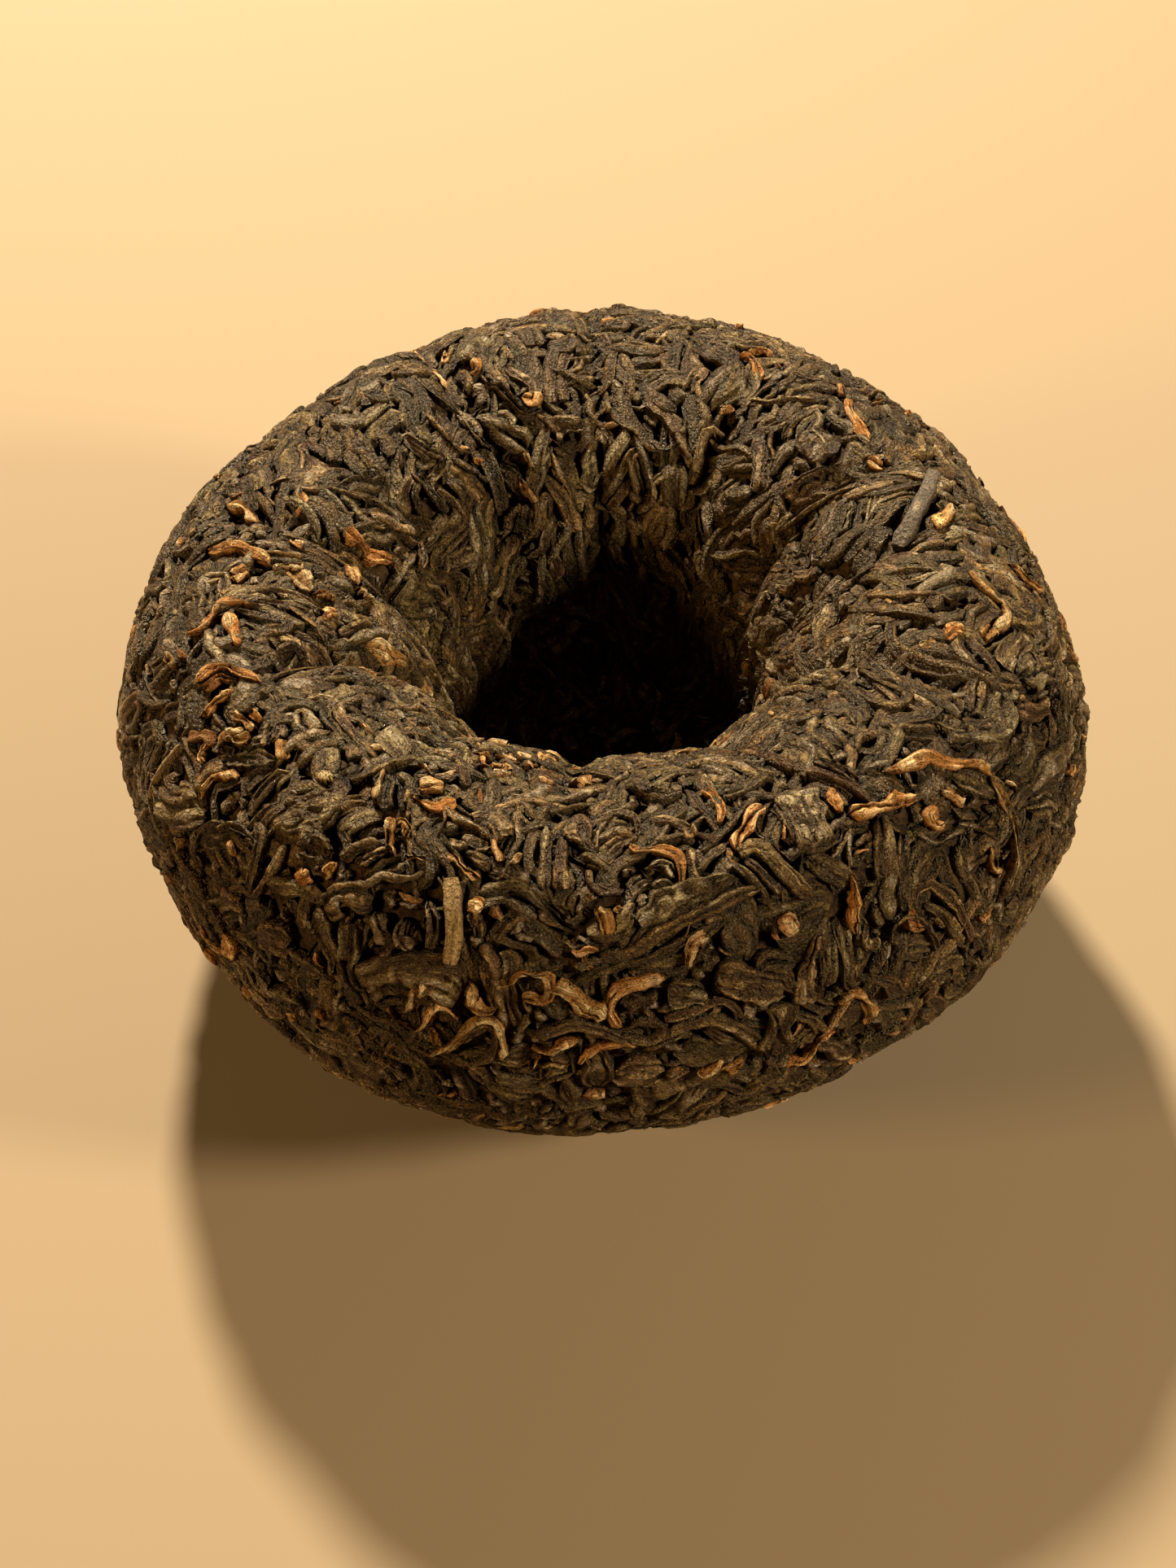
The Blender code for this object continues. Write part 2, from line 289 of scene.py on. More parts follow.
class Cover:
    """A raster of the skin that holds how high the leaves laid so far reach over it."""

    STEP = 0.4
    BARE = -3.0
    LEAST_RADIUS = 3.0  # nearer the axis than this, a leaf's reach round it is no longer widened

    def __init__(self):
        self.rows = int(SKIN.length / self.STEP)
        self.columns = int(2 * math.pi * OUTER_RADIUS / self.STEP)
        self.run = (np.arange(self.rows) + 0.5) * SKIN.length / self.rows
        self.azimuth = (np.arange(self.columns) + 0.5) * 2 * math.pi / self.columns
        grid = np.meshgrid(self.run, self.azimuth, indexing="ij")
        self.places = SKIN.plain(*grid)[0]
        self.top = np.full((self.rows, self.columns), self.BARE)

    def chances(self, weight):
        """The chance of each cell to be drawn, added up: its area times weight(run, azimuth)."""
        share = SKIN.radius(self.run)[:, None] * weight(self.run[:, None], self.azimuth[None, :])
        total = np.cumsum(np.broadcast_to(share, self.top.shape))
        return total / total[-1]

    def lowest(self, draw, count, chances, tries):
        """The places of count cells: each is the barest of some tries."""
        cells = np.searchsorted(chances, draw.random((count, tries)))
        rows, columns = np.divmod(np.minimum(cells, self.top.size - 1), self.columns)
        best = self.top[rows, columns].argmin(1)
        pick = np.arange(count)
        rows, columns = rows[pick, best], columns[pick, best]
        run = self.run[rows] + draw.uniform(-0.5, 0.5, count) * self.STEP
        azimuth = self.azimuth[columns] + draw.uniform(-0.5, 0.5, count) * 2 * math.pi / self.columns
        return run, azimuth

    def lay(self, path, half_width, lift, height):
        """Raise the raster under one leaf, given along its middle line."""
        run, azimuth = SKIN.chart(path)
        reach = half_width.max()
        low = max(int((run.min() - reach) / SKIN.length * self.rows), 0)
        high = min(int((run.max() + reach) / SKIN.length * self.rows) + 2, self.rows)
        middle = azimuth[len(azimuth) // 2]
        turn = (azimuth - middle + math.pi) % (2 * math.pi) - math.pi
        margin = reach / max(SKIN.radius(run).min(), self.LEAST_RADIUS)
        first = int((middle + turn.min() - margin) / (2 * math.pi) * self.columns)
        last = int((middle + turn.max() + margin) / (2 * math.pi) * self.columns) + 2
        columns = np.arange(first, min(last, first + self.columns)) % self.columns
        cells = np.ix_(np.arange(low, high), columns)
        away = np.sqrt(((self.places[cells][:, :, None, :] - path) ** 2).sum(-1))
        nearest = away.argmin(-1)
        share = np.take_along_axis(away, nearest[..., None], -1)[..., 0] / half_width[nearest]
        crown = lift[nearest] - height * (1 - np.sqrt(np.clip(1 - share ** 2, 0, 1)))
        self.top[cells] = np.maximum(self.top[cells], np.where(share < 1, crown, self.BARE))


COVER = Cover()

# ---------------------------------------------------------------- leaves


def normalised(vectors):
    return vectors / np.linalg.norm(vectors, axis=-1, keepdims=True)


def facing(run, azimuth, heading):
    """Points and normals at places on the plain skin, and the ways ahead at an angle from the slope."""
    point, normal = SKIN.plain(run, azimuth)
    along = np.stack([-np.sin(azimuth), np.cos(azimuth), 0 * azimuth], -1)
    turn = heading[:, None]
    return point, normal, np.cross(along, normal) * np.cos(turn) + along * np.sin(turn)


def walk(run, azimuth, heading, length, steps, turning):
    """Middle lines of leaves: from their middles, both ways over the skin, to points and sideways directions.

    turning(share) is the angle by which a leaf has turned at each share of its length.
    """
    start, normal, onward = facing(run, azimuth, heading)
    line = np.empty((len(run), steps, 3))
    side = np.empty((len(run), steps, 3))
    middle = steps // 2
    step = (length / (steps - 1))[:, None]
    for way in (1, -1):
        point, up = start.copy(), normal.copy()
        ahead = normalised(onward)
        turned = turning(np.full(len(run), middle / (steps - 1)))
        index = middle
        while 0 <= index < steps:
            line[:, index] = point
            side[:, index] = np.cross(up, ahead)
            share = (index + way) / (steps - 1)
            now = turning(np.full(len(run), share))
            angle = (now - turned)[:, None]
            turned = now
            ahead = normalised(ahead * np.cos(angle) + np.cross(up, ahead) * np.sin(angle))
            point, up = SKIN.plain(*SKIN.chart(point + ahead * step * way))
            ahead = normalised(ahead - up * (ahead * up).sum(-1, keepdims=True))
            index += way
    return line, side


class Kind:
    """One kind of leaf. Ranges are (least, most), and sizes are in millimetres."""

    USUAL = {
        "length": (4.0, 9.0), "width": (1.0, 1.6), "height": (0.45, 0.65), "lift": (-0.4, -0.2),
        "bend": 1.2, "wave": 0.35, "hook": 0.25,  # how the middle line turns, and how often an end is hooked
        "tilt": 0.15, "cup": 0.06,  # how far a leaf leans sideways, and how hollow or crowned it is
        "squareness": 3.2,  # 2 gives a round section, more gives flatter backs and steeper edges
        "tip": (0.3, 0.8), "taper": (0.10, 0.34),  # the width left at the ends, and how far in they taper
        "tuck": (0.15, 0.6),  # how deep the ends dive
        "seams": 2, "seam_depth": 0.20, "wrinkle": 0.04, "wrinkle_pitch": 0.5, "crinkle": 0.06, "bump": 0.10,
        "edge": 0.2, "swell": 0.28, "rim": 0.0,  # ragged edges, uneven width, and a rolled rim
        "tone": 1.35,  # the higher, the more of the leaves are dark
        "bundle": 1,  # the most leaves that lie side by side
    }

    def __init__(self, name, slot, rings, points, **looks):
        self.name, self.slot, self.rings, self.points = name, slot, rings, points
        for look, usual in self.USUAL.items():
            setattr(self, look, looks.get(look, usual))
        self.leaves = []


class Batch:
    """Leaves of one kind laid together, as arrays over the leaves."""

    HOOK_TURN, HOOK_SPAN = 2.6, 0.22  # how far a hooked end turns, and over which share of the length
    TUCK_SPAN, TUCK_POWER = 0.30, 1.6  # the share of the length over which an end dives, and how suddenly
    SWELL_LENGTH = 2.2
    SUNK_PAINTED_SHADE = 1.5  # painted shade: how much of its paleness a leaf loses for each millimetre that it is sunk

    def __init__(self, kind, draw, run, azimuth, heading, **given):
        self.kind, self.count = kind, len(run)
        count = self.count

        def between(limits, name):
            if name in given:
                return np.asarray(given[name], float)
            return draw.uniform(limits[0], limits[1], count)

        for name in ("length", "width", "height", "lift"):
            setattr(self, name, between(getattr(kind, name), name))
        # A sunk leaf's tone is darkened: painted shade from the leaves over it.
        self.tone = between((0, 1), "tone") ** kind.tone * (1 - self.SUNK_PAINTED_SHADE * given.get("sink", 0.0))
        self.tilt = draw.normal(0, kind.tilt, count)
        self.cup = draw.normal(0, kind.cup, count)
        self.tips = draw.uniform(*kind.tip, (count, 2))
        self.tapers = draw.uniform(*kind.taper, (count, 2))
        self.tucks = draw.uniform(*kind.tuck, (count, 2))
        self.bend = given.get("bend", draw.normal(0, kind.bend / 2, count))
        hooks = draw.uniform(-1, 1, (count, 2)) * (draw.random((count, 2)) < kind.hook)
        self.hooks = self.HOOK_TURN * hooks
        self.wave = given.get("wave", draw.normal(0, kind.wave, count))
        self.wave_phase = given.get("wave_phase", draw.uniform(0, 2 * math.pi, count))
        self.wave_count = given.get("wave_count", draw.uniform(0.6, 1.7, count))
        self.seam_places = draw.uniform(-0.65, 0.65, (count, kind.seams))
        self.seam_drift = draw.normal(0, 0.35, (count, kind.seams))
        self.seam_depth = draw.uniform(0.3, 1.2, (count, kind.seams)) * kind.seam_depth
        self.wrinkle_phase = draw.uniform(0, 2 * math.pi, count)
        self.wrinkle_drift = draw.normal(0, 2.5, count)
        self.wrinkle_count = draw.uniform(0.75, 1.3, count) / kind.wrinkle_pitch
        self.shift = draw.uniform(0, 100, (count, 3))
        self.hue = draw.random(count)
        if "line" in given:
            self.line, self.side = given["line"], given["side"]
        else:
            self.line, self.side = walk(run, azimuth, heading, self.length, kind.rings, self.turned)

    def turned(self, share):
        """How far each leaf has turned at its share of the length: a bend, a wave and hooked ends."""
        span = self.HOOK_SPAN
        ends = np.clip(np.stack([span - share, share - (1 - span)], -1) / span, 0, 1)
        wave = self.wave * np.sin(2 * math.pi * self.wave_count * share + self.wave_phase)
        return self.bend * (share - 0.5) + wave + (ends * self.hooks).sum(-1)

    def shares(self):
        return np.linspace(0, 1, self.kind.rings)

    def half_widths(self):
        """Half widths along each leaf, (leaves, rings): uneven, and drawn in at the tips."""
        share = self.shares()
        from_end = np.stack([share, 1 - share], -1)[None]
        full = np.clip(from_end / self.tapers[:, None, :], 0, 1)
        drawn = self.tips[:, None, :] + (1 - self.tips[:, None, :]) * np.sqrt(full * (2 - full))
        place = np.stack([share[None] * self.length[:, None] + self.shift[:, :1],
                          np.broadcast_to(self.shift[:, 1:2], drawn.shape[:2]),
                          np.broadcast_to(self.shift[:, 2:], drawn.shape[:2])], -1)
        swell = 1 + self.kind.swell * WRINKLES(place, self.SWELL_LENGTH)
        return self.width[:, None] / 2 * drawn.min(-1) * swell

    def lifts(self):
        """Lift of the crown along each leaf, (leaves, rings): the ends are tucked under their neighbours."""
        share = self.shares()
        from_end = np.stack([share, 1 - share], -1)[None]
        near = np.clip(1 - from_end / self.TUCK_SPAN, 0, 1) ** self.TUCK_POWER
        return self.lift[:, None] - (near * self.tucks[:, None, :]).sum(-1)

    def cover(self):
        half_widths, lifts = self.half_widths(), self.lifts()
        for k in range(self.count):
            COVER.lay(self.line[k], half_widths[k], lifts[k], self.height[k])


WRINKLES = Noise(7)
RAGGED = Noise(8)
BURIED = 0.35  # how far a leaf's edges are sunk below its own height
CROWDED = 0.86  # at 1 the points lie closest together at a leaf's steep edges, and at 0 evenly
RAGGED_LENGTH, CRACK_LENGTH, BUMP_LENGTH, FINE_LENGTH = 1.3, 1.7, 0.9, 0.45
SEAM_WIDTH, CRACK_WIDTH = 0.16, 0.13
RIM_PLACE, RIM_WIDTH = 0.80, 0.10  # the rolled rim of a broad leaf, in half widths
HOLLOW_PLACE, HOLLOW_WIDTH, HOLLOW_SHARE = 0.60, 0.12, 0.8  # the hollow inside that rim
RELIEF_SPAN = 0.32  # from the bottom of a seam to the top of a ridge


def across_places(points):
    """Places from edge to edge across a leaf, closer together towards the steep edges."""
    even = np.linspace(-1, 1, points)
    return np.sin(even * math.pi / 2 * CROWDED) / math.sin(math.pi / 2 * CROWDED)


def bell(distance, width):
    return np.exp(-(distance / width) ** 2)


def leaf_points(batch):
    """Every vertex of a batch, (leaves, rings, points, 3), and how far each lies up its leaf's relief."""
    kind = batch.kind
    across = across_places(kind.points)[None, None, :]
    share = batch.shares()[None, :, None]
    half = batch.half_widths()[:, :, None]
    distance = share * batch.length[:, None, None]
    grain = np.broadcast_arrays(distance + batch.shift[:, None, None, 0],
                                across * half + batch.shift[:, None, None, 1],
                                batch.shift[:, None, None, 2])
    grain = np.stack(grain, -1)
    ragged = RAGGED(grain * (1, 0, 1) + np.sign(across)[..., None] * 17, RAGGED_LENGTH)
    sideways = across * half + kind.edge * ragged * across
    crown = 1 - (1 - np.abs(across) ** kind.squareness) ** (1 / kind.squareness)
    drop = crown * (batch.height[:, None, None] + BURIED)
    middle = np.clip(1 - across ** 4, 0, 1)
    relief = np.zeros(np.broadcast_shapes(across.shape, distance.shape, half.shape))
    for k in range(kind.seams):
        place = batch.seam_places[:, k, None, None] + batch.seam_drift[:, k, None, None] * (share - 0.5) * 2
        gap = (across - place) * half
        relief = relief - batch.seam_depth[:, k, None, None] * bell(gap, SEAM_WIDTH) * middle
    phase = batch.wrinkle_phase[:, None, None] + batch.wrinkle_drift[:, None, None] * share
    folds = np.sin(2 * math.pi * across * half * batch.wrinkle_count[:, None, None] + phase
                   + 1.5 * WRINKLES(grain, 1.8))
    relief = relief + kind.wrinkle * (2 * np.abs(folds) ** 0.7 - 1) * middle
    relief = relief + kind.bump * WRINKLES(grain, BUMP_LENGTH)
    cracks = RAGGED(grain * (0.7, 1, 1) + 9, CRACK_LENGTH)
    relief = relief - kind.crinkle * bell(cracks, CRACK_WIDTH) * middle
    relief = relief + kind.bump * 0.6 * WRINKLES(grain + 31, FINE_LENGTH) * middle
    relief = relief + batch.cup[:, None, None] * (3 * across ** 2 - 1) * (np.abs(across) < 0.9)
    if kind.rim:
        hollow = HOLLOW_SHARE * bell(np.abs(across) - HOLLOW_PLACE, HOLLOW_WIDTH)
        relief = relief + kind.rim * (bell(np.abs(across) - RIM_PLACE, RIM_WIDTH) - hollow)
    lift = batch.lifts()[:, :, None] - drop + relief + batch.tilt[:, None, None] * across * half
    plain = batch.line[:, :, None, :] + batch.side[:, :, None, :] * sideways[..., None]
    run, azimuth = SKIN.chart(plain)
    # Painted highlight and shade: the material pales the high values and darkens the low ones.
    # The value also falls near a leaf's edges, which are darkened as painted shade of the gaps between
    # leaves.
    depth = np.clip(relief / RELIEF_SPAN + 0.5, 0, 1) * (1 - 0.95 * np.abs(across) ** 5)
    return SKIN.point(run, azimuth, lift), depth


# ---------------------------------------------------------------- meshes


def ring_faces(rings, points):
    """Corner numbers of one leaf: quads round the tube, then one many-sided face at each end."""
    ring = np.arange(rings - 1)[:, None] * points
    here = np.arange(points)[None, :]
    after = (here + 1) % points
    below = ring + points
    quads = np.stack([ring + here, below + here, below + after, ring + after], -1).reshape(-1, 4)
    caps = np.stack([np.arange(points), (rings - 1) * points + np.arange(points)[::-1]])
    return quads, caps


def shelf_places(lengths, widths):
    """The places of rectangles in rows of like widths in a square that holds them all, and its side."""
    order = np.argsort(-widths, kind="stable")
    side = math.sqrt((lengths * widths).sum()) * 1.01
    while True:
        left, row, row_width = 0.0, 0.0, 0.0
        places = np.zeros((len(lengths), 2))
        for k in order:
            if left + lengths[k] > side:
                left, row = 0.0, row + row_width
                row_width = 0.0
            row_width = max(row_width, widths[k])
            places[k] = left, row
            left += lengths[k]
        if row + row_width <= side:
            return places, side
        side *= 1.01


UV_GAP = 0.12
CAP_SHARE = 0.2
GIRTH = 2.3  # the way round a leaf's section, in widths


def leaf_maps(kinds):
    """Corner coordinates of a piece's leaves: a map that packs them, and one in millimetres for grain."""
    batches = [batch for kind in kinds for batch in kind.leaves]
    lengths = np.concatenate([b.length for b in batches])
    widths = np.concatenate([b.width for b in batches])
    shifts = np.concatenate([b.shift for b in batches])
    margins = UV_GAP + CAP_SHARE * widths
    places, side = shelf_places(lengths + 2 * margins, widths * GIRTH + UV_GAP)
    packed, grain = [], []
    start = 0
    for kind in kinds:
        count = sum(b.count for b in kind.leaves)
        mine = slice(start, start + count)
        start += count
        length, width = lengths[mine, None], widths[mine, None]
        girth = width * GIRTH
        quads = ring_faces(kind.rings, kind.points)[0]
        ring, point = quads // kind.points, quads % kind.points
        closing = (point.max(1) == kind.points - 1) & (point.min(1) == 0)
        point = np.where(closing[:, None] & (point == 0), kind.points, point)
        u = (ring / (kind.rings - 1)).reshape(1, -1) * length
        v = (point / kind.points).reshape(1, -1) * girth
        round_end = np.arange(kind.points)[None] / kind.points * girth
        bulge = np.sin(math.pi * np.arange(kind.points) / (kind.points - 1))[None] * CAP_SHARE * width
        left, low = places[mine, :1] + margins[mine, None], places[mine, 1:]
        packed_u = np.concatenate([left + u, left - bulge, left + length + bulge[:, ::-1]], 1)
        packed_v = np.concatenate([low + v, low + round_end, low + round_end[:, ::-1]], 1)
        packed.append(np.stack([packed_u, packed_v], -1).reshape(-1, 2) / side)
        end_u = np.broadcast_to(length, (count, kind.points))
        grain_u = np.concatenate([u, 0 * end_u, end_u], 1) + shifts[mine, :1]
        grain_v = np.concatenate([v, round_end, round_end[:, ::-1]], 1) + shifts[mine, 1:2]
        grain.append(np.stack([grain_u, grain_v], -1).reshape(-1, 2))
    return np.concatenate(packed), np.concatenate(grain)


SHARP = math.radians(42)


def build_mesh(name, points, faces, sizes):
    """A mesh from flat arrays: points in millimetres, the faces' corners, and how many each face has."""
    mesh = bpy.data.meshes.new(name)
    mesh.vertices.add(len(points))
    mesh.vertices.foreach_set("co", (points * MM).astype(np.float32).ravel())
    mesh.loops.add(len(faces))
    mesh.loops.foreach_set("vertex_index", faces.astype(np.int32))
    mesh.polygons.add(len(sizes))
    starts = np.concatenate([[0], np.cumsum(sizes)[:-1]]).astype(np.int32)
    mesh.polygons.foreach_set("loop_start", starts)
    mesh.polygons.foreach_set("loop_total", sizes.astype(np.int32))
    mesh.polygons.foreach_set("use_smooth", np.ones(len(sizes), bool))
    mesh.update(calc_edges=True)
    mesh.set_sharp_from_angle(angle=SHARP)
    return mesh


def add_object(name, data):
    thing = bpy.data.objects.new(name, data)
    bpy.context.scene.collection.objects.link(thing)
    return thing


def add_piece(mesh, material):
    """Put a mesh in the scene as a piece that rides on the cake and stands for its plain solid."""
    piece = add_object(mesh.name, mesh)
    mesh.materials.append(material)
    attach(piece, "root")
    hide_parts("tuocha")


def leaf_piece(kinds, material):
    """One piece of all the leaves of some kinds, named after the first."""
    points, faces, sizes = [], [], []
    values = {"relief": [], "tone": [], "hue": []}
    start = 0
    for kind in kinds:
        each = kind.rings * kind.points
        for batch in kind.leaves:
            place, depth = leaf_points(batch)
            points.append(place.reshape(-1, 3))
            values["relief"].append(depth.ravel())
            values["tone"].append(np.repeat(batch.tone, each))
            values["hue"].append(np.repeat(batch.hue, each))
        count = sum(b.count for b in kind.leaves)
        quads, caps = ring_faces(kind.rings, kind.points)
        corners = np.concatenate([quads.ravel(), caps.ravel()])
        firsts = start + np.arange(count) * each
        start += count * each
        faces.append((corners[None, :] + firsts[:, None]).ravel())
        sizes.append(np.tile(np.concatenate([np.full(len(quads), 4), np.full(2, kind.points)]), count))
    mesh = build_mesh(kinds[0].name, np.concatenate(points), np.concatenate(faces), np.concatenate(sizes))
    for name, parts in values.items():
        layer = mesh.attributes.new(name, "FLOAT", "POINT")
        layer.data.foreach_set("value", np.concatenate(parts).astype(np.float32))
    packed, grain = leaf_maps(kinds)
    for name, places in (("grain", grain), ("OFBake", packed)):
        layer = mesh.uv_layers.new(name=name)
        layer.data.foreach_set("uv", places.astype(np.float32).ravel())
    add_piece(mesh, material)


# ---------------------------------------------------------------- the core


CORE_AZIMUTHS, CORE_RINGS = 280, 130
CORE_DEPTH = 0.95
CORE_PITS = ((0, 2.6, 0.45), (50, 1.5, 0.30))  # place in the noise, wavelength, depth
CORE_GRAIN = (90, 0.9, 0.12)


def core_piece(material):
    """The crumbly mass between and under the leaves."""
    crumble = Noise(12)
    run = np.linspace(0, SKIN.length, CORE_RINGS + 2)[1:-1]
    azimuth = np.arange(CORE_AZIMUTHS) * 2 * math.pi / CORE_AZIMUTHS
    run, azimuth = np.meshgrid(run, azimuth, indexing="ij")
    plain = SKIN.plain(run, azimuth)[0]
    lift = -CORE_DEPTH
    for place, wavelength, depth in CORE_PITS:
        lift = lift - depth * np.abs(crumble(plain + place, wavelength))
    place, wavelength, height = CORE_GRAIN
    lift = lift + height * crumble(plain + place, wavelength)
    shell = SKIN.point(run, azimuth, lift).reshape(-1, 3)
    ends = SKIN.point(np.array([0.0, SKIN.length]), np.zeros(2), np.full(2, -CORE_DEPTH))
    quads = ring_faces(CORE_RINGS, CORE_AZIMUTHS)[0]
    here = np.arange(CORE_AZIMUTHS)
    after = (here + 1) % CORE_AZIMUTHS
    last = (CORE_RINGS - 1) * CORE_AZIMUTHS
    bottom = np.stack([0 * here + len(shell), here, after], -1)
    foot = np.stack([0 * here + len(shell) + 1, last + after, last + here], -1)
    faces = np.concatenate([quads.ravel(), bottom.ravel(), foot.ravel()])
    sizes = np.concatenate([np.full(len(quads), 4), np.full(2 * CORE_AZIMUTHS, 3)])
    add_piece(build_mesh("core", np.concatenate([shell, ends]), faces, sizes), material)


# ---------------------------------------------------------------- laying the leaves

FIELD = Noise(21)
SWIRL_TURN, SWIRL_LENGTH = math.pi * 1.5, 7.5
EDDY_TURN, EDDY_LENGTH = 1.2, 3.5
CROSSED = 0.22  # the share of leaves that lie across the swirl
STRAY_TURN, STRAY_LENGTH = 1.05, 5.0  # how leaves in the funnel stray from the slope
WITH_SLOPE = 0.85  # the share of leaves in the funnel that follow its slope
LIP_FROM, LIP_TO = math.radians(222), math.radians(318)
CRUMBLY_FROM, CRUMBLY_TO, CRUMBLY_FADE = 226, 268, 8  # degrees
SIDE_BY_SIDE = 0.88  # how far apart the leaves of a bundle lie, in widths
SEEN_POINTS = 24  # pixels read along the middle line of a leaf that the photo shows
SEED = 2024


def funnel_share(run):
    """1 in the funnel, 0 outside the crest, and between them on the crest."""
    return np.clip((SKIN.crest_run + 3.0 - run) / 8.0, 0, 1) * (run > SKIN.throat_run - 3.0)


def lip_share(run, azimuth):
    """1 on the crumbly front lip of the hollow, where the leaves lie any way."""
    turn = azimuth % (2 * math.pi)
    inside = np.clip(np.minimum(turn - LIP_FROM, LIP_TO - turn) / 0.25, 0, 1)
    past_throat = np.clip((run - SKIN.throat_run + 2) / 3, 0, 1)
    return inside * past_throat * np.clip((SKIN.crest_run + 4 - run) / 5, 0, 1)


def headings(draw, run, azimuth, jitter):
    """Which way leaves lie: down the slope in the funnel, in swirls that neighbours share elsewhere."""
    places = SKIN.plain(run, azimuth)[0]
    swirl = SWIRL_TURN * FIELD(places, SWIRL_LENGTH) + EDDY_TURN * FIELD(places + 60, EDDY_LENGTH)
    swirl = swirl + math.pi / 2 * (draw.random(len(run)) < CROSSED)
    slope = STRAY_TURN * FIELD(places + 20, STRAY_LENGTH)
    lip = lip_share(run, azimuth)
    with_slope = funnel_share(run) * (1 - lip) * WITH_SLOPE
    along = np.where(draw.random(len(run)) < with_slope, slope, swirl)
    return along + draw.normal(0, 1, len(run)) * (jitter + 0.6 * lip)


def lay_leaves(draw, kind, count, weight, sink=0.0, jitter=0.35, tries=14, batch=32):
    """Lay leaves of a kind where the skin is barest, in batches, so that each sees what lies there.

    Where the kind comes in bundles, up to that many leaves lie side by side and bend alike. sink is how far
    they all lie below the kind's usual height: later leaves fill the gaps between earlier ones.
    """
    chances = COVER.chances(weight)
    while count > 0:
        leaders = max(min(batch, count) // kind.bundle, 1)
        run, azimuth = COVER.lowest(draw, leaders, chances, tries)
        heading = headings(draw, run, azimuth, jitter)
        members = draw.integers(1, kind.bundle + 1, leaders)
        index = np.repeat(np.arange(leaders), members)
        rank = np.arange(len(index)) - np.repeat(np.cumsum(members) - members, members)
        rank = rank - (members[index] - 1) / 2
        point, normal, ahead = facing(run[index], azimuth[index], heading[index])
        aside = np.cross(normal, ahead) * (rank * sum(kind.width) / 2 * SIDE_BY_SIDE)[:, None]
        onward = ahead * draw.normal(0, kind.length[0] * 0.2, len(index))[:, None]
        run, azimuth = SKIN.chart(point + aside + onward * (members[index] > 1)[:, None])
        near = heading[index] + draw.normal(0, 0.05, len(index))
        alike = {"bend": draw.normal(0, kind.bend / 2, leaders)[index],
                 "wave": draw.normal(0, kind.wave, leaders)[index],
                 "wave_phase": draw.uniform(0, 2 * math.pi, leaders)[index],
                 "wave_count": draw.uniform(0.6, 1.7, leaders)[index],
                 "lift": draw.uniform(*kind.lift, len(index)) - sink, "sink": sink}
        leaves = Batch(kind, draw, run, azimuth, near, **alike)
        leaves.cover()
        kind.leaves.append(leaves)
        count -= len(index)


def lay_seen(draw, kind, leaves):
    """Lay single leaves that the photo shows. Each is a width, a tone and the pixels of its middle line."""
    lines, sides, lengths = [], [], []
    for _, _, *pixels in leaves:
        run, azimuth = seen(smooth_line(np.reshape(pixels, (-1, 2)), SEEN_POINTS))
        line = smooth_line(SKIN.plain(run, azimuth)[0], kind.rings)
        ahead = normalised(np.gradient(line, axis=0))
        line, normal = SKIN.plain(*SKIN.chart(line))
        lines.append(line)
        sides.append(normalised(np.cross(normal, ahead)))
        lengths.append(np.linalg.norm(np.diff(line, axis=0), axis=1).sum())
    count = len(leaves)
    middle = np.stack(lines)[:, kind.rings // 2]
    given = {"line": np.stack(lines), "side": np.stack(sides), "length": lengths,
             "width": [leaf[0] for leaf in leaves], "tone": [leaf[1] for leaf in leaves],
             "lift": draw.uniform(*kind.lift, count)}
    batch = Batch(kind, draw, *SKIN.chart(middle), np.zeros(count), **given)
    batch.cover()
    kind.leaves.append(batch)


def region(low, high, soft=3.0):
    """A weight that is 1 between two runs and fades outside them."""
    def weight(run, azimuth):
        return np.clip(1 + np.minimum(run - low, high - run) / soft, 0, 1) + 0 * azimuth
    return weight


def unseen_first(run, azimuth):
    """A weight that favours what the photo doesn't show, since there the tips are laid one by one."""
    toward = (SKIN.plain(run, azimuth)[1] * CAMERA_BACK).sum(-1)
    return np.where(toward > 0.15, 0.3, 1.0) * np.clip((run - 4) / 3, 0, 1)


def crumbly_lip(run, azimuth):
    """A weight for the part of the front lip that is strewn with tan crumbs, left of the middle."""
    turn = np.degrees(azimuth % (2 * math.pi))
    inside = np.minimum(turn - CRUMBLY_FROM, CRUMBLY_TO - turn) / CRUMBLY_FADE
    return lip_share(run, azimuth) * np.clip(inside, 0, 1)


STRANDS = Kind(
    "strands", "tea_leaf", 9, 9, length=(2.8, 7.0), width=(0.85, 1.6), height=(0.4, 0.6), lift=(-0.32, -0.12),
    bend=0.9, tuck=(0.1, 0.5), squareness=2.8, seams=1, tone=1.7, bundle=2)
ROLLED = Kind(
    "rolled_leaves", "tea_leaf", 9, 9, length=(2.6, 6.8), width=(0.7, 1.35), height=(0.45, 0.7),
    lift=(-0.34, -0.12), bend=1.8, hook=0.4, wave=0.4, squareness=2.6, seams=1, bundle=3)
RIBBONS = Kind(
    "ribbon_leaves", "tea_leaf", 9, 10, length=(3.0, 7.6), width=(1.1, 2.2), height=(0.4, 0.6),
    lift=(-0.34, -0.12), bend=1.4, hook=0.3, seam_depth=0.32, bundle=2)
BROAD = Kind(
    "broad_leaves", "tea_leaf", 11, 15, length=(3.5, 7.5), width=(2.2, 4.0), height=(0.4, 0.6),
    lift=(-0.42, -0.30), bend=0.8, hook=0.0, wave=0.25, squareness=5.0, tip=(0.35, 0.8), taper=(0.15, 0.4),
    tuck=(0.2, 0.5), seams=3, wrinkle=0.08, wrinkle_pitch=0.8, bump=0.18, edge=0.6, swell=0.35, rim=0.10,
    tone=2.0, tilt=0.08, crinkle=0.16)
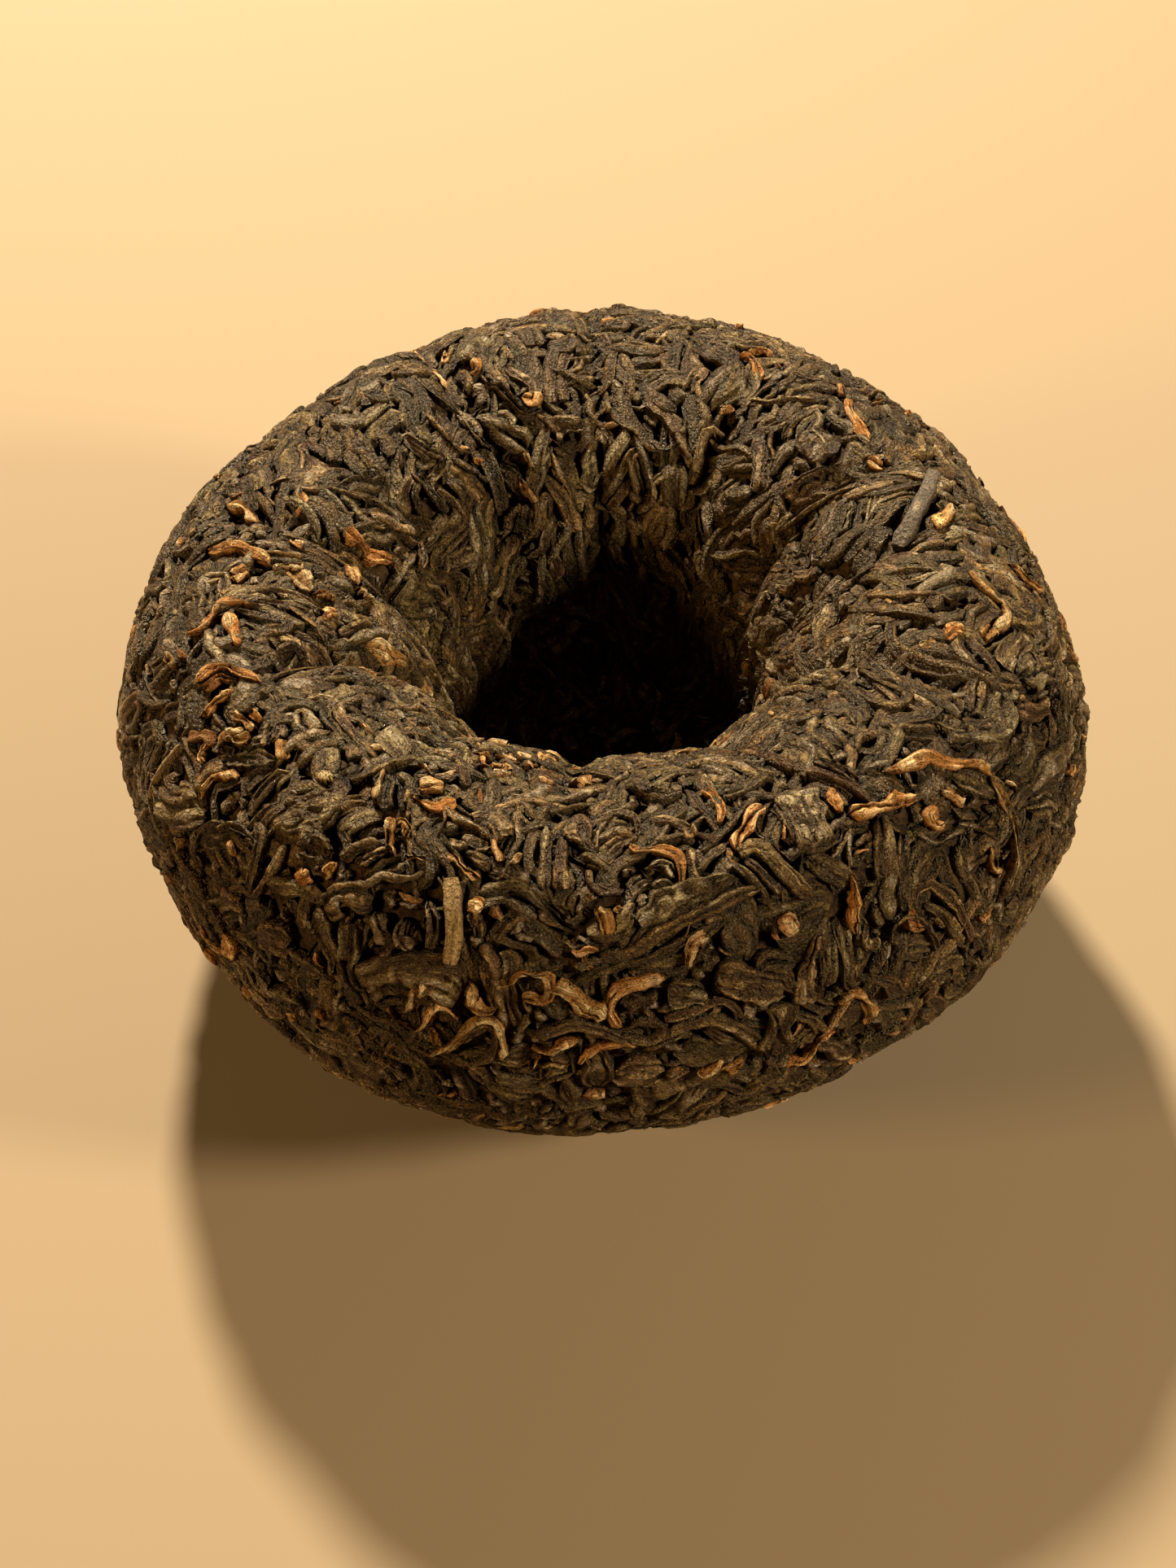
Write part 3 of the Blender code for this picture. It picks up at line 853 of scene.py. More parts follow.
CRUMBS = Kind(
    "crumbs", "tea_leaf_brown", 5, 8, length=(0.9, 2.6), width=(0.6, 1.5), height=(0.4, 0.6),
    lift=(-0.34, -0.12), bend=1.4, hook=0.0, wave=0.3, tip=(0.4, 1.0), tuck=(0.0, 0.4), seams=1, wrinkle=0.06,
    bump=0.2, edge=0.34, swell=0.4)
TIPS = Kind(
    "golden_tips", "tea_tip_golden", 10, 9, length=(1.2, 4.6), width=(0.5, 1.1), height=(0.36, 0.48),
    lift=(-0.25, -0.05), bend=1.8, hook=0.4, wave=0.5, squareness=3.6, seams=1, seam_depth=0.26,
    tuck=(0.1, 0.5), tone=1.5, edge=0.40, bump=0.14, tip=(0.05, 0.32), taper=(0.2, 0.6))
SPECKS = Kind(
    "golden_tips", "tea_tip_golden", 4, 7, length=(0.8, 2.1), width=(0.35, 0.65), height=(0.35, 0.5),
    lift=(-0.30, -0.14), bend=1.0, hook=0.0, wave=0.0, tip=(0.1, 0.6), seams=0, tuck=(0.0, 0.2), tone=3.5,
    edge=0.5, bump=0.16, squareness=2.6)
STEMS = Kind(
    "stems", "tea_stem", 10, 12, length=(4.0, 8.0), width=(1.0, 1.4), height=(0.6, 0.8), lift=(-0.3, -0.1),
    bend=0.15, hook=0.0, wave=0.0, squareness=2.0, tip=(0.9, 1.0), taper=(0.05, 0.1), tuck=(0.0, 0.3),
    seams=0, wrinkle=0.035, wrinkle_pitch=0.3, bump=0.03, edge=0.02, swell=0.05, cup=0.0, tilt=0.05,
    tone=0.35)

# The same kinds as the photo shows them one by one, with finer meshes.
SEEN_STICKS = Kind(
    "stems", "tea_stem", 12, 13, height=(0.5, 0.6), lift=(0.05, 0.1), squareness=4.5, tip=(0.8, 1.0),
    taper=(0.03, 0.06), tuck=(0.0, 0.1), seams=1, seam_depth=0.15, wrinkle_pitch=0.35, bump=0.06, edge=0.1,
    swell=0.08, cup=0.0, tilt=0.03, tone=1.0, crinkle=0.0)
SEEN_TIPS = Kind(
    "golden_tips", "tea_tip_golden", 15, 11, height=(0.28, 0.4), lift=(-0.07, 0.07), squareness=4.4, seams=1,
    seam_depth=0.26, tip=(0.08, 0.35), taper=(0.12, 0.38), tuck=(0.0, 0.15), tone=0.9, edge=0.45, bump=0.18,
    crinkle=0.2, tilt=0.12)
SEEN_LEAVES = Kind(
    "ribbon_leaves", "tea_leaf", 15, 11, height=(0.45, 0.6), lift=(-0.08, 0.06), squareness=3.6,
    taper=(0.08, 0.25), tuck=(0.05, 0.3), tone=0.8, tilt=0.1)
SEEN_FLATS = Kind(
    "broad_leaves", "tea_leaf", 20, 21, height=(0.4, 0.6), lift=(-0.10, 0.02), squareness=5.0,
    tip=(0.35, 0.8), taper=(0.15, 0.4), tuck=(0.1, 0.3), seams=3, seam_depth=0.22, wrinkle=0.05,
    wrinkle_pitch=0.9, bump=0.22, edge=0.8, swell=0.3, rim=0.08, tone=0.5, tilt=0.06, crinkle=0.2)

# Leaves that the photo shows one by one, read off: the width in millimetres, the tone from 0 to 1, and
# then pairs of across and down, the pixels of the middle line in the 1445 x 1927 frame.
PHOTO_STICKS = (
    (1.35, 0.80, 553, 1078, 556, 1120, 556, 1150, 551, 1188),
    (1.40, 0.00, 1152, 578, 1133, 612, 1114, 645, 1103, 670),
)
PHOTO_TIPS = (
    (1.10, 0.95, 518, 1208, 508, 1228, 497, 1243), (1.15, 0.65, 576, 1210, 573, 1232, 586, 1246, 608, 1248),
    (0.80, 0.40, 472, 1242, 490, 1258, 512, 1268, 523, 1260, 530, 1244, 545, 1240, 560, 1254),
    (0.60, 0.45, 528, 1263, 533, 1274, 537, 1286),
    (0.75, 0.35, 528, 1300, 548, 1290, 572, 1268, 595, 1256, 611, 1264, 617, 1285, 616, 1306),
    (1.25, 0.50, 672, 1216, 700, 1230, 725, 1247, 745, 1258),
    (0.90, 0.40, 622, 1212, 648, 1201, 674, 1212, 668, 1236, 640, 1232),
    (1.10, 0.95, 818, 1207, 790, 1212, 762, 1222, 748, 1238, 750, 1255, 762, 1266),
    (1.15, 1.00, 874, 1159, 855, 1167, 847, 1196), (1.30, 0.65, 737, 1118, 744, 1135, 745, 1154),
    (0.70, 0.80, 757, 1120, 763, 1127), (1.25, 0.95, 963, 1135, 985, 1149),
    (0.90, 0.45, 965, 1312, 990, 1305, 1010, 1280, 1035, 1265), (1.00, 0.50, 892, 1322, 915, 1306),
    (1.00, 0.50, 710, 1312, 728, 1296, 755, 1288, 785, 1291),
    (1.00, 0.90, 941, 989, 925, 1005, 912, 1026, 907, 1052), (0.80, 1.00, 955, 1047, 970, 1060, 984, 1078),
    (1.45, 0.55, 1050, 1003, 1078, 991, 1105, 985, 1127, 979),
    (1.00, 0.80, 1088, 945, 1112, 940, 1136, 925, 1158, 932, 1185, 935, 1207, 932, 1217, 948),
    (0.90, 0.55, 1217, 945, 1226, 965, 1240, 985, 1250, 1015, 1252, 1050, 1242, 1090, 1232, 1110),
    (0.95, 0.95, 1160, 968, 1188, 982), (0.80, 0.75, 1020, 965, 1032, 983, 1039, 998),
    (0.90, 0.45, 1050, 1082, 1055, 1110, 1055, 1150), (1.10, 0.60, 1145, 990, 1150, 1010, 1165, 1011),
    (0.85, 0.70, 1188, 699, 1200, 712, 1216, 729, 1232, 744, 1231, 757, 1212, 766),
    (0.80, 0.60, 1172, 616, 1160, 630, 1147, 641), (0.75, 0.50, 1242, 690, 1260, 705, 1280, 720),
    (1.00, 0.75, 1150, 776, 1165, 765, 1177, 770), (0.70, 0.90, 1120, 789, 1138, 780),
    (1.30, 0.65, 1200, 775, 1217, 764), (0.60, 0.80, 700, 958, 714, 951, 728, 962),
    (0.80, 0.70, 614, 934, 623, 946), (0.85, 0.75, 610, 1020, 609, 1042, 612, 1060),
    (1.20, 0.60, 546, 1044, 566, 1060, 588, 1079),
    (0.95, 0.45, 770, 1050, 800, 1048, 830, 1055, 838, 1075, 838, 1095), (0.80, 0.75, 773, 1038, 786, 1046),
    (0.90, 0.75, 849, 1013, 856, 1029), (0.85, 0.50, 866, 963, 880, 985, 886, 1012),
    (0.80, 0.20, 642, 1050, 626, 1065, 612, 1076), (0.80, 0.70, 574, 1109, 591, 1118),
    (0.75, 1.00, 475, 938, 468, 956, 462, 976), (1.10, 0.50, 345, 904, 345, 930),
    (0.95, 0.60, 309, 868, 317, 884), (0.65, 0.75, 283, 879, 298, 879, 308, 896),
    (0.80, 0.70, 262, 913, 278, 901, 296, 897), (0.80, 0.70, 284, 907, 303, 904),
    (1.00, 0.60, 244, 982, 251, 965, 263, 953, 288, 955), (0.70, 0.60, 244, 938, 246, 917, 258, 908),
    (1.20, 0.60, 398, 942, 406, 957), (1.20, 0.70, 518, 956, 547, 957),
    (0.90, 0.60, 508, 974, 536, 984, 562, 977), (0.70, 0.45, 480, 1000, 475, 1025, 483, 1052),
    (0.60, 0.70, 484, 1012, 493, 1004, 502, 1013, 496, 1026), (0.65, 0.70, 498, 1050, 522, 1053),
    (0.80, 0.55, 413, 1059, 396, 1076), (1.20, 0.50, 362, 1086, 378, 1074),
    (1.00, 0.80, 424, 647, 440, 660, 455, 675, 472, 681, 492, 687),
    (1.65, 0.80, 363, 692, 372, 707, 380, 724), (0.70, 0.75, 384, 729, 399, 729, 411, 735),
    (0.60, 0.65, 341, 698, 355, 692, 371, 691), (1.50, 0.30, 432, 690, 440, 716),
    (0.80, 0.25, 445, 724, 461, 738),
    (0.75, 0.75, 230, 772, 250, 764, 262, 746, 280, 735, 305, 737, 327, 743),
    (0.95, 0.40, 280, 750, 285, 768, 291, 787), (1.30, 0.70, 286, 708, 308, 693),
    (0.80, 0.40, 274, 615, 295, 622, 312, 639), (0.80, 0.40, 254, 673, 285, 669, 312, 673, 336, 691),
    (1.10, 0.20, 198, 803, 213, 815), (0.80, 0.60, 399, 751, 416, 752),
    (0.80, 0.50, 242, 838, 257, 821, 278, 816, 300, 826, 322, 834),
    (0.70, 0.45, 247, 846, 266, 830, 292, 832), (0.85, 0.60, 243, 880, 254, 866, 270, 855, 286, 845),
    (0.80, 0.50, 453, 784, 474, 795, 495, 808, 507, 813), (0.70, 0.70, 361, 662, 369, 668),
    (1.10, 0.65, 645, 483, 655, 492, 662, 481), (0.70, 0.65, 583, 439, 588, 450, 578, 459),
    (0.85, 0.60, 550, 428, 547, 442), (0.70, 0.70, 561, 547, 576, 553), (0.70, 0.70, 582, 562, 598, 568),
    (0.80, 0.25, 640, 589, 648, 605, 660, 620), (0.60, 0.10, 648, 554, 652, 570, 661, 583),
    (0.80, 0.90, 904, 436, 920, 441, 928, 454, 931, 467),
    (0.60, 0.50, 914, 431, 934, 429, 946, 439, 957, 451), (1.00, 0.55, 1033, 467, 1041, 481),
    (0.95, 0.50, 1045, 484, 1046, 502, 1058, 518, 1071, 534), (1.25, 0.85, 1069, 560, 1091, 568),
    (0.70, 0.50, 884, 511, 902, 502), (0.80, 0.60, 944, 650, 969, 641),
    (0.90, 0.70, 243, 1140, 250, 1154, 263, 1167, 279, 1179), (0.85, 0.65, 275, 1150, 278, 1165, 279, 1180),
    (0.80, 0.50, 280, 1032, 284, 1052),
    (1.05, 0.50, 1034, 1236, 1050, 1228, 1066, 1233, 1073, 1247, 1070, 1259),
    (0.75, 0.60, 1209, 1133, 1223, 1120),
)
PHOTO_LEAVES = (
    (0.90, 0.25, 432, 951, 460, 938, 490, 928, 520, 924),
    (0.65, 0.40, 556, 1300, 575, 1311, 598, 1305, 608, 1285, 601, 1263, 584, 1268, 566, 1285),
    (1.60, 0.80, 425, 1140, 425, 1163, 422, 1186), (1.80, 0.45, 458, 1125, 466, 1148, 470, 1164),
    (0.90, 0.80, 523, 1108, 530, 1135, 525, 1166), (1.20, 0.45, 578, 1123, 587, 1152),
    (0.75, 0.85, 440, 1092, 468, 1078, 500, 1080, 522, 1070),
    (1.15, 0.45, 450, 1270, 476, 1276, 500, 1298, 522, 1316), (1.00, 0.60, 452, 1302, 480, 1316, 500, 1330),
    (1.00, 0.80, 589, 1166, 599, 1182, 605, 1206),
    (1.10, 0.65, 660, 1276, 680, 1270, 705, 1265, 730, 1268, 760, 1280, 787, 1289),
    (1.15, 0.30, 738, 1185, 780, 1177, 820, 1150, 862, 1130, 905, 1110, 945, 1095),
    (0.95, 0.14, 736, 1206, 772, 1191, 812, 1180, 852, 1160, 892, 1141),
    (1.25, 0.50, 798, 1286, 840, 1268, 880, 1260, 920, 1275, 942, 1297),
    (0.75, 0.70, 768, 1268, 795, 1261, 816, 1270, 800, 1283, 774, 1281),
    (0.80, 0.80, 818, 1259, 850, 1250, 882, 1238, 906, 1245, 911, 1260),
    (0.75, 0.25, 905, 1065, 925, 1085, 946, 1106), (0.75, 0.25, 920, 1059, 944, 1084, 962, 1101),
    (0.85, 0.75, 903, 915, 940, 925, 975, 935, 1010, 945, 1045, 960, 1070, 981),
    (0.80, 0.95, 998, 929, 1030, 940, 1057, 956), (0.65, 0.95, 956, 985, 968, 1006, 982, 1036),
    (0.65, 0.90, 967, 985, 976, 1005, 988, 1025),
    (1.40, 0.55, 910, 1050, 930, 1042, 952, 1061, 977, 1087, 1000, 1111),
    (1.00, 0.75, 1126, 1112, 1132, 1096, 1155, 1091, 1178, 1116, 1194, 1143, 1195, 1162),
    (1.10, 0.50, 1140, 1114, 1165, 1130, 1186, 1161),
    (0.70, 0.55, 1099, 1165, 1105, 1141, 1125, 1131, 1146, 1146, 1157, 1168),
    (1.00, 0.45, 1090, 760, 1088, 780, 1101, 800, 1132, 812, 1170, 818, 1202, 826, 1232, 842),
    (0.85, 0.60, 1110, 795, 1150, 800, 1190, 815, 1222, 836),
    (0.85, 0.55, 1038, 746, 1080, 744, 1120, 748, 1152, 756),
    (0.75, 0.75, 1058, 726, 1100, 728, 1138, 724, 1160, 731),
    (0.75, 0.30, 1050, 840, 1066, 855, 1096, 858, 1111, 845, 1091, 831, 1064, 830),
    (1.10, 0.75, 672, 1012, 668, 1055, 668, 1096), (1.00, 0.70, 691, 1010, 688, 1050, 690, 1096),
    (0.80, 0.95, 740, 1002, 731, 1020, 729, 1042), (0.80, 0.70, 738, 1001, 760, 994, 780, 1001, 786, 1022),
    (0.70, 0.55, 721, 1069, 725, 1090, 745, 1105, 767, 1098), (0.60, 0.60, 734, 1084, 750, 1095, 762, 1089),
    (0.80, 0.90, 799, 1071, 815, 1064, 831, 1079), (0.80, 0.85, 804, 1096, 816, 1087, 831, 1099),
    (0.85, 0.85, 799, 1004, 830, 1010, 860, 1025, 882, 1036), (0.70, 0.90, 850, 1044, 852, 1070, 856, 1091),
    (1.20, 0.55, 315, 1008, 315, 1040, 308, 1070, 299, 1097),
    (0.70, 0.65, 261, 1021, 280, 1014, 300, 1024, 311, 1037), (1.00, 0.85, 418, 1052, 440, 1040, 467, 1034),
    (0.85, 0.80, 433, 1062, 455, 1050, 477, 1039), (0.85, 0.70, 555, 924, 571, 935, 576, 957),
    (0.70, 0.40, 314, 599, 334, 628, 341, 658, 335, 677),
    (0.65, 0.60, 300, 722, 340, 719, 370, 730, 397, 746), (0.65, 0.50, 299, 735, 330, 734, 367, 742),
    (0.75, 0.50, 290, 745, 320, 752, 362, 759), (0.90, 0.25, 344, 797, 362, 789, 377, 802),
    (0.60, 0.65, 598, 467, 616, 475, 635, 498, 652, 507, 664, 499),
    (0.85, 0.60, 518, 494, 540, 520, 563, 544, 582, 556),
    (0.85, 0.50, 544, 464, 560, 495, 580, 525, 602, 547), (0.75, 0.55, 498, 529, 520, 545, 547, 561),
    (0.80, 0.50, 558, 559, 580, 575, 603, 592), (0.75, 0.20, 508, 578, 530, 600, 551, 627),
    (0.75, 0.80, 918, 490, 960, 490, 1002, 487), (0.70, 0.50, 960, 455, 1000, 462, 1038, 468),
    (0.70, 0.90, 1062, 589, 1020, 605, 980, 630, 949, 651), (0.70, 0.70, 1051, 560, 1000, 575, 958, 602),
    (1.10, 0.50, 204, 1038, 221, 1062, 240, 1090, 256, 1121, 268, 1152),
    (0.80, 0.40, 235, 1018, 232, 1048, 241, 1068), (0.85, 0.85, 346, 1040, 326, 1078, 305, 1107),
    (1.60, 0.55, 268, 1098, 292, 1117), (1.50, 0.50, 385, 1118, 395, 1150, 411, 1187),
    (0.85, 0.60, 350, 1170, 378, 1189, 402, 1206), (0.80, 0.55, 1056, 1290, 1085, 1275, 1112, 1261),
)
PHOTO_FLATS = (
    (4.40, 0.30, 438, 1210, 475, 1203, 515, 1206, 562, 1228), (2.80, 0.50, 393, 1112, 420, 1104, 452, 1112),
    (2.00, 0.65, 500, 1134, 491, 1150, 501, 1169), (2.10, 0.40, 788, 1141, 830, 1120, 870, 1100, 907, 1089),
    (2.10, 0.45, 822, 1231, 845, 1230, 870, 1227), (2.60, 0.45, 884, 1206, 925, 1215, 967, 1227),
    (2.80, 0.50, 966, 1240, 960, 1270, 950, 1302), (2.10, 0.65, 1011, 1154, 1000, 1190, 995, 1237),
    (1.50, 0.45, 763, 1246, 790, 1235, 808, 1227), (2.70, 0.80, 984, 968, 996, 1003, 1011, 1042),
    (2.60, 0.30, 1254, 821, 1297, 814), (1.30, 0.60, 768, 966, 800, 968, 838, 968),
    (1.70, 0.80, 706, 1003, 716, 1037), (1.80, 0.60, 582, 1010, 600, 1006, 612, 1030),
    (1.80, 0.65, 339, 884, 325, 917), (1.60, 0.35, 266, 936, 300, 929, 333, 935),
    (3.60, 0.40, 346, 1004, 382, 991, 416, 988), (3.10, 0.45, 360, 1041, 402, 1045),
    (2.10, 0.60, 684, 529, 716, 524), (2.40, 0.55, 940, 520, 935, 562, 930, 604),
    (1.80, 0.85, 1070, 1139, 1073, 1172), (2.90, 0.45, 308, 1149, 352, 1161),
    (2.80, 0.45, 322, 1219, 367, 1236),
)


def lay_all():
    """Lay what the photo shows one by one, and then all other leaves, from the topmost layer down."""
    draw = np.random.default_rng(SEED)
    first, last = 4.0, SKIN.length - 1.5
    everywhere, pit = region(first, last), region(first, SKIN.throat_run)
    funnel = region(SKIN.throat_run - 5.0, SKIN.crest_run + 1.0)
    outside = region(SKIN.crest_run - 3.0, last)
    for kind, leaves in ((SEEN_STICKS, PHOTO_STICKS), (SEEN_TIPS, PHOTO_TIPS), (SEEN_LEAVES, PHOTO_LEAVES),
                         (SEEN_FLATS, PHOTO_FLATS)):
        lay_seen(draw, kind, leaves)
    for kind, count, weight, sink in (
            (BROAD, 110, outside, 0.0), (ROLLED, 160, pit, 0.0), (RIBBONS, 450, outside, 0.0),
            (STRANDS, 560, funnel, 0.0), (ROLLED, 350, outside, 0.06), (BROAD, 220, outside, 0.12),
            (RIBBONS, 300, everywhere, 0.16), (STRANDS, 320, funnel, 0.16), (ROLLED, 400, outside, 0.20),
            (STRANDS, 270, outside, 0.26), (RIBBONS, 230, everywhere, 0.30), (ROLLED, 280, everywhere, 0.34)):
        lay_leaves(draw, kind, count, weight, sink)
    lay_leaves(draw, CRUMBS, 1850, everywhere, sink=0.30, jitter=0.8, tries=60)
    lay_leaves(draw, TIPS, 190, unseen_first, jitter=0.6, tries=2)
    lay_leaves(draw, SPECKS, 60, crumbly_lip, jitter=0.8, tries=3)
    lay_leaves(draw, SPECKS, 120, everywhere, jitter=0.8, tries=3)
    lay_leaves(draw, STEMS, 14, outside, tries=1)


# ---------------------------------------------------------------- materials

# Colours of leaves from the darkest to the palest tone.
DARK_STOPS = ((0.0, (0.056, 0.027, 0.0055)), (0.35, (0.124, 0.072, 0.018)), (0.7, (0.200, 0.133, 0.047)),
              (1.0, (0.30, 0.215, 0.110)))
BROWN_STOPS = ((0.0, (0.068, 0.033, 0.009)), (0.6, (0.16, 0.094, 0.031)), (1.0, (0.34, 0.215, 0.085)))
GOLD_STOPS = ((0.0, (0.29, 0.165, 0.065)), (0.5, (0.58, 0.385, 0.165)), (1.0, (0.66, 0.470, 0.245)))
STEM_STOPS = ((0.0, (0.09, 0.079, 0.070)), (0.2, (0.12, 0.075, 0.035)), (1.0, (0.34, 0.215, 0.085)))
# The core's colour, darker than any leaf: the crumbly mass, with painted shade for the gaps where it shows.
CORE_AND_GAP_SHADE_STOPS = ((0.35, (0.010, 0.0045, 0.001)), (0.7, (0.050, 0.025, 0.006)))
# Painted highlight: paler colours mixed in where a leaf's relief is high.
LEAF_RIDGE_HIGHLIGHT, GOLD_RIDGE_HIGHLIGHT = (0.30, 0.235, 0.150), (0.54, 0.39, 0.215)
# Painted shade, multiplied in at low relief, at the leaves' edges and along creases and cracks.
GROOVE_SHADE = (0.11, 0.036, 0.007)
COOL, WARM = (0.92, 0.99, 0.95), (1.22, 0.98, 0.70)  # the leaves' own casts lie between these
GAP_PAINTED_SHADE = (0.10, 0.045, 0.015)  # the painted shade in the gaps between leaves
GAP_REACH, GAP_SAMPLES = 0.8 * MM, 8  # walls this near count as a gap's
GAP_SHADE = (0.46, 0.96)  # how open a place is where the painted shade is full, and where it ends
SHEEN = (1.0, 0.755, 0.37, 1.0)
CRACKS = 1.9  # cracks to the millimetre
FOLDS, FINER_FOLDS = 1.0, 3.1  # to the millimetre, along the leaf
MOTTLE, PEBBLE, CRUMBLE = 900.0, 3600.0, 1500.0  # to the metre
FOLD_DEPTH, PEBBLE_DEPTH, CRUMBLE_DEPTH = 0.42 * MM, 0.32 * MM, 0.6 * MM


class Nodes:
    """Short calls for building a material's node tree."""

    def __init__(self, name):
        self.material = bpy.data.materials.new(name)
        self.material.use_nodes = True
        self.tree = self.material.node_tree

    def feed(self, node, inputs):
        for name, value in inputs.items():
            if isinstance(value, bpy.types.NodeSocket):
                self.tree.links.new(value, node.inputs[name])
            else:
                node.inputs[name].default_value = value

    def add(self, kind, inputs=(), **settings):
        node = self.tree.nodes.new("ShaderNode" + kind)
        for name, value in settings.items():
            setattr(node, name, value)
        self.feed(node, dict(inputs))
        return node

    def attribute(self, name):
        return self.add("Attribute", attribute_name=name).outputs["Fac"]

    def maths(self, operation, first, second=0.0, clamp=False):
        return self.add("Math", {0: first, 1: second}, operation=operation, use_clamp=clamp).outputs[0]

    def ramp(self, factor, stops):
        node = self.add("ValToRGB", {"Fac": factor})
        band = node.color_ramp
        while len(band.elements) < len(stops):
            band.elements.new(1.0)
        for element, (place, colour) in zip(band.elements, stops):
            element.position = place
            element.color = (*colour, 1.0)
        return node.outputs["Color"]

    def mix(self, factor, first, second, blend="MIX"):
        """Two colours mixed. The sockets go by number, as the inputs for other types share their names."""
        first, second = ((*c, 1.0) if isinstance(c, tuple) else c for c in (first, second))
        node = self.add("Mix", {0: factor, 6: first, 7: second}, data_type="RGBA", blend_type=blend)
        return node.outputs[2]

    def noise(self, vector, scale, detail=3.0, roughness=0.55):
        return self.add("TexNoise", {"Vector": vector, "Scale": scale, "Detail": detail,
                                     "Roughness": roughness}).outputs["Fac"]

    def scaled(self, value, from_low, from_high, to_low=0.0, to_high=1.0):
        """A value mapped smoothly from one span to another, and kept inside it."""
        spans = {"From Min": from_low, "From Max": from_high, "To Min": to_low, "To Max": to_high}
        node = self.add("MapRange", {"Value": value, **spans}, interpolation_type="SMOOTHSTEP")
        return node.outputs["Result"]

    def bump(self, height, depth, **inputs):
        return self.add("Bump", {"Height": height, "Distance": depth, **inputs}).outputs["Normal"]

    def finish(self, looks):
        self.feed(self.tree.nodes["Principled BSDF"], looks)
        return self.material


def leaf_material(name, stops, ridge_highlight, groove_shade=GROOVE_SHADE, roughness=(0.40, 0.62), specular=0.5, relief=1.0,
                  stretch=(0.75, 1.0)):
    """Dry pressed leaf of its own tone: painted highlight on ridges, painted shade in seams and creases along
    it.
    """
    n = Nodes(name)
    places = n.add("TexCoord").outputs["Object"]
    grain_map = n.add("UVMap", uv_map="grain").outputs["UV"]
    mottle = n.noise(places, MOTTLE, 4.0)
    along = n.add("Mapping", {"Vector": grain_map, "Scale": (*stretch, 1.0)}).outputs["Vector"]
    folds = n.noise(along, FOLDS, 2.0, 0.6)
    finer = n.noise(along, FINER_FOLDS, 3.0, 0.6)
    pebble = n.noise(places, PEBBLE, 3.0, 0.6)
    # Creases along the leaf and cracks at the cells' edges: they shape the bumps, and darken the colour as
    # painted shade.
    crease = n.scaled(n.maths("ABSOLUTE", n.maths("SUBTRACT", folds, 0.5)), 0.0, 0.075)
    cells = n.add("TexVoronoi", {"Vector": along, "Scale": CRACKS}, feature="DISTANCE_TO_EDGE")
    cracked = n.maths("MULTIPLY", crease, n.scaled(cells.outputs["Distance"], 0.0, 0.18))
    crease = n.maths("MAXIMUM", cracked, n.scaled(mottle, 0.50, 0.62))
    spread = n.add("Math", {0: mottle, 1: 0.42, 2: -0.21}, operation="MULTIPLY_ADD").outputs[0]
    tone = n.maths("ADD", n.attribute("tone"), spread, True)
    colour = n.mix(1.0, n.ramp(tone, stops), n.mix(n.attribute("hue"), COOL, WARM), "MULTIPLY")
    streaks = n.scaled(finer, 0.32, 0.68, 0.84, 1.18)
    grain = n.maths("MULTIPLY", streaks, n.scaled(pebble, 0.3, 0.7, 0.80, 1.20))
    grain = n.add("CombineColor", {0: grain, 1: grain, 2: grain}).outputs[0]
    colour = n.mix(1.0, colour, grain, "MULTIPLY")
    height = n.attribute("relief")
    # Painted highlight on the ridges.
    colour = n.mix(n.scaled(height, 0.58, 0.92, 0.0, 0.7), colour, ridge_highlight)
    # Painted shade in the seams, at the edges, and along the creases and cracks below.
    low = n.mix(1.0, colour, groove_shade, "MULTIPLY")
    # Painted shade along the creases and cracks.
    colour = n.mix(n.scaled(crease, 0.0, 1.0, 0.5, 1.0), low, colour)
    colour = n.mix(n.scaled(height, 0.08, 0.66), low, colour)
    # Painted shade where neighbouring leaves close a place in.
    shut_in = n.add("AmbientOcclusion", {"Distance": GAP_REACH}, samples=GAP_SAMPLES).outputs["AO"]
    colour = n.mix(n.scaled(shut_in, *GAP_SHADE), n.mix(1.0, colour, GAP_PAINTED_SHADE, "MULTIPLY"), colour)
    bulk = n.maths("ADD", n.maths("MULTIPLY", crease, 0.9), n.maths("MULTIPLY", finer, 1.2))
    wrinkled = n.bump(bulk, FOLD_DEPTH, Strength=relief)
    return n.finish({"Base Color": colour, "Roughness": n.scaled(finer, 0.3, 0.7, *roughness),
                     "Specular IOR Level": specular, "Specular Tint": SHEEN,
                     "Normal": n.bump(pebble, PEBBLE_DEPTH, Strength=1.0, Normal=wrinkled)})


def core_material():
    n = Nodes("core_dark")
    crumble = n.noise(n.add("TexCoord").outputs["Object"], CRUMBLE, 4.0)
    # Painted shade: the core is darker than the leaves, so the gaps where it shows look shaded.
    return n.finish({"Base Color": n.ramp(crumble, CORE_AND_GAP_SHADE_STOPS), "Roughness": 0.85, "Specular IOR Level": 0.1,
                     "Normal": n.bump(crumble, CRUMBLE_DEPTH, Strength=1.0)})


def floor_material():
    looks = {"Base Color": FLOOR_COLOUR, "Roughness": 0.9, "Specular IOR Level": 0.2}
    return Nodes("pale_floor").finish(looks)


# ---------------------------------------------------------------- camera, light and floor

CLIP = (0.01, 10.0)
FLOOR_REACH = 6.0  # from its middle to each side
FLOOR_COLOUR = (0.215, 0.152, 0.082, 1.0)
WORLD_COLOUR, WORLD_STRENGTH = (1.0, 0.62, 0.26, 1.0), 0.085
LIGHT_DISTANCE = 0.6
LIT_HEIGHT = 0.02  # the lights look at the cake's axis at this height

# Lights: name, azimuth and elevation in degrees, size in metres, power in watts, colour.
LIGHTS = (
    ("key", 106, 46, 0.06, 14.3, (1.0, 0.92, 0.80)),
    ("side", 342, 27, 0.10, 6.0, (1.0, 0.88, 0.70)),
    ("fill", 204, 22, 0.12, 3.0, (1.0, 0.72, 0.40)),
)


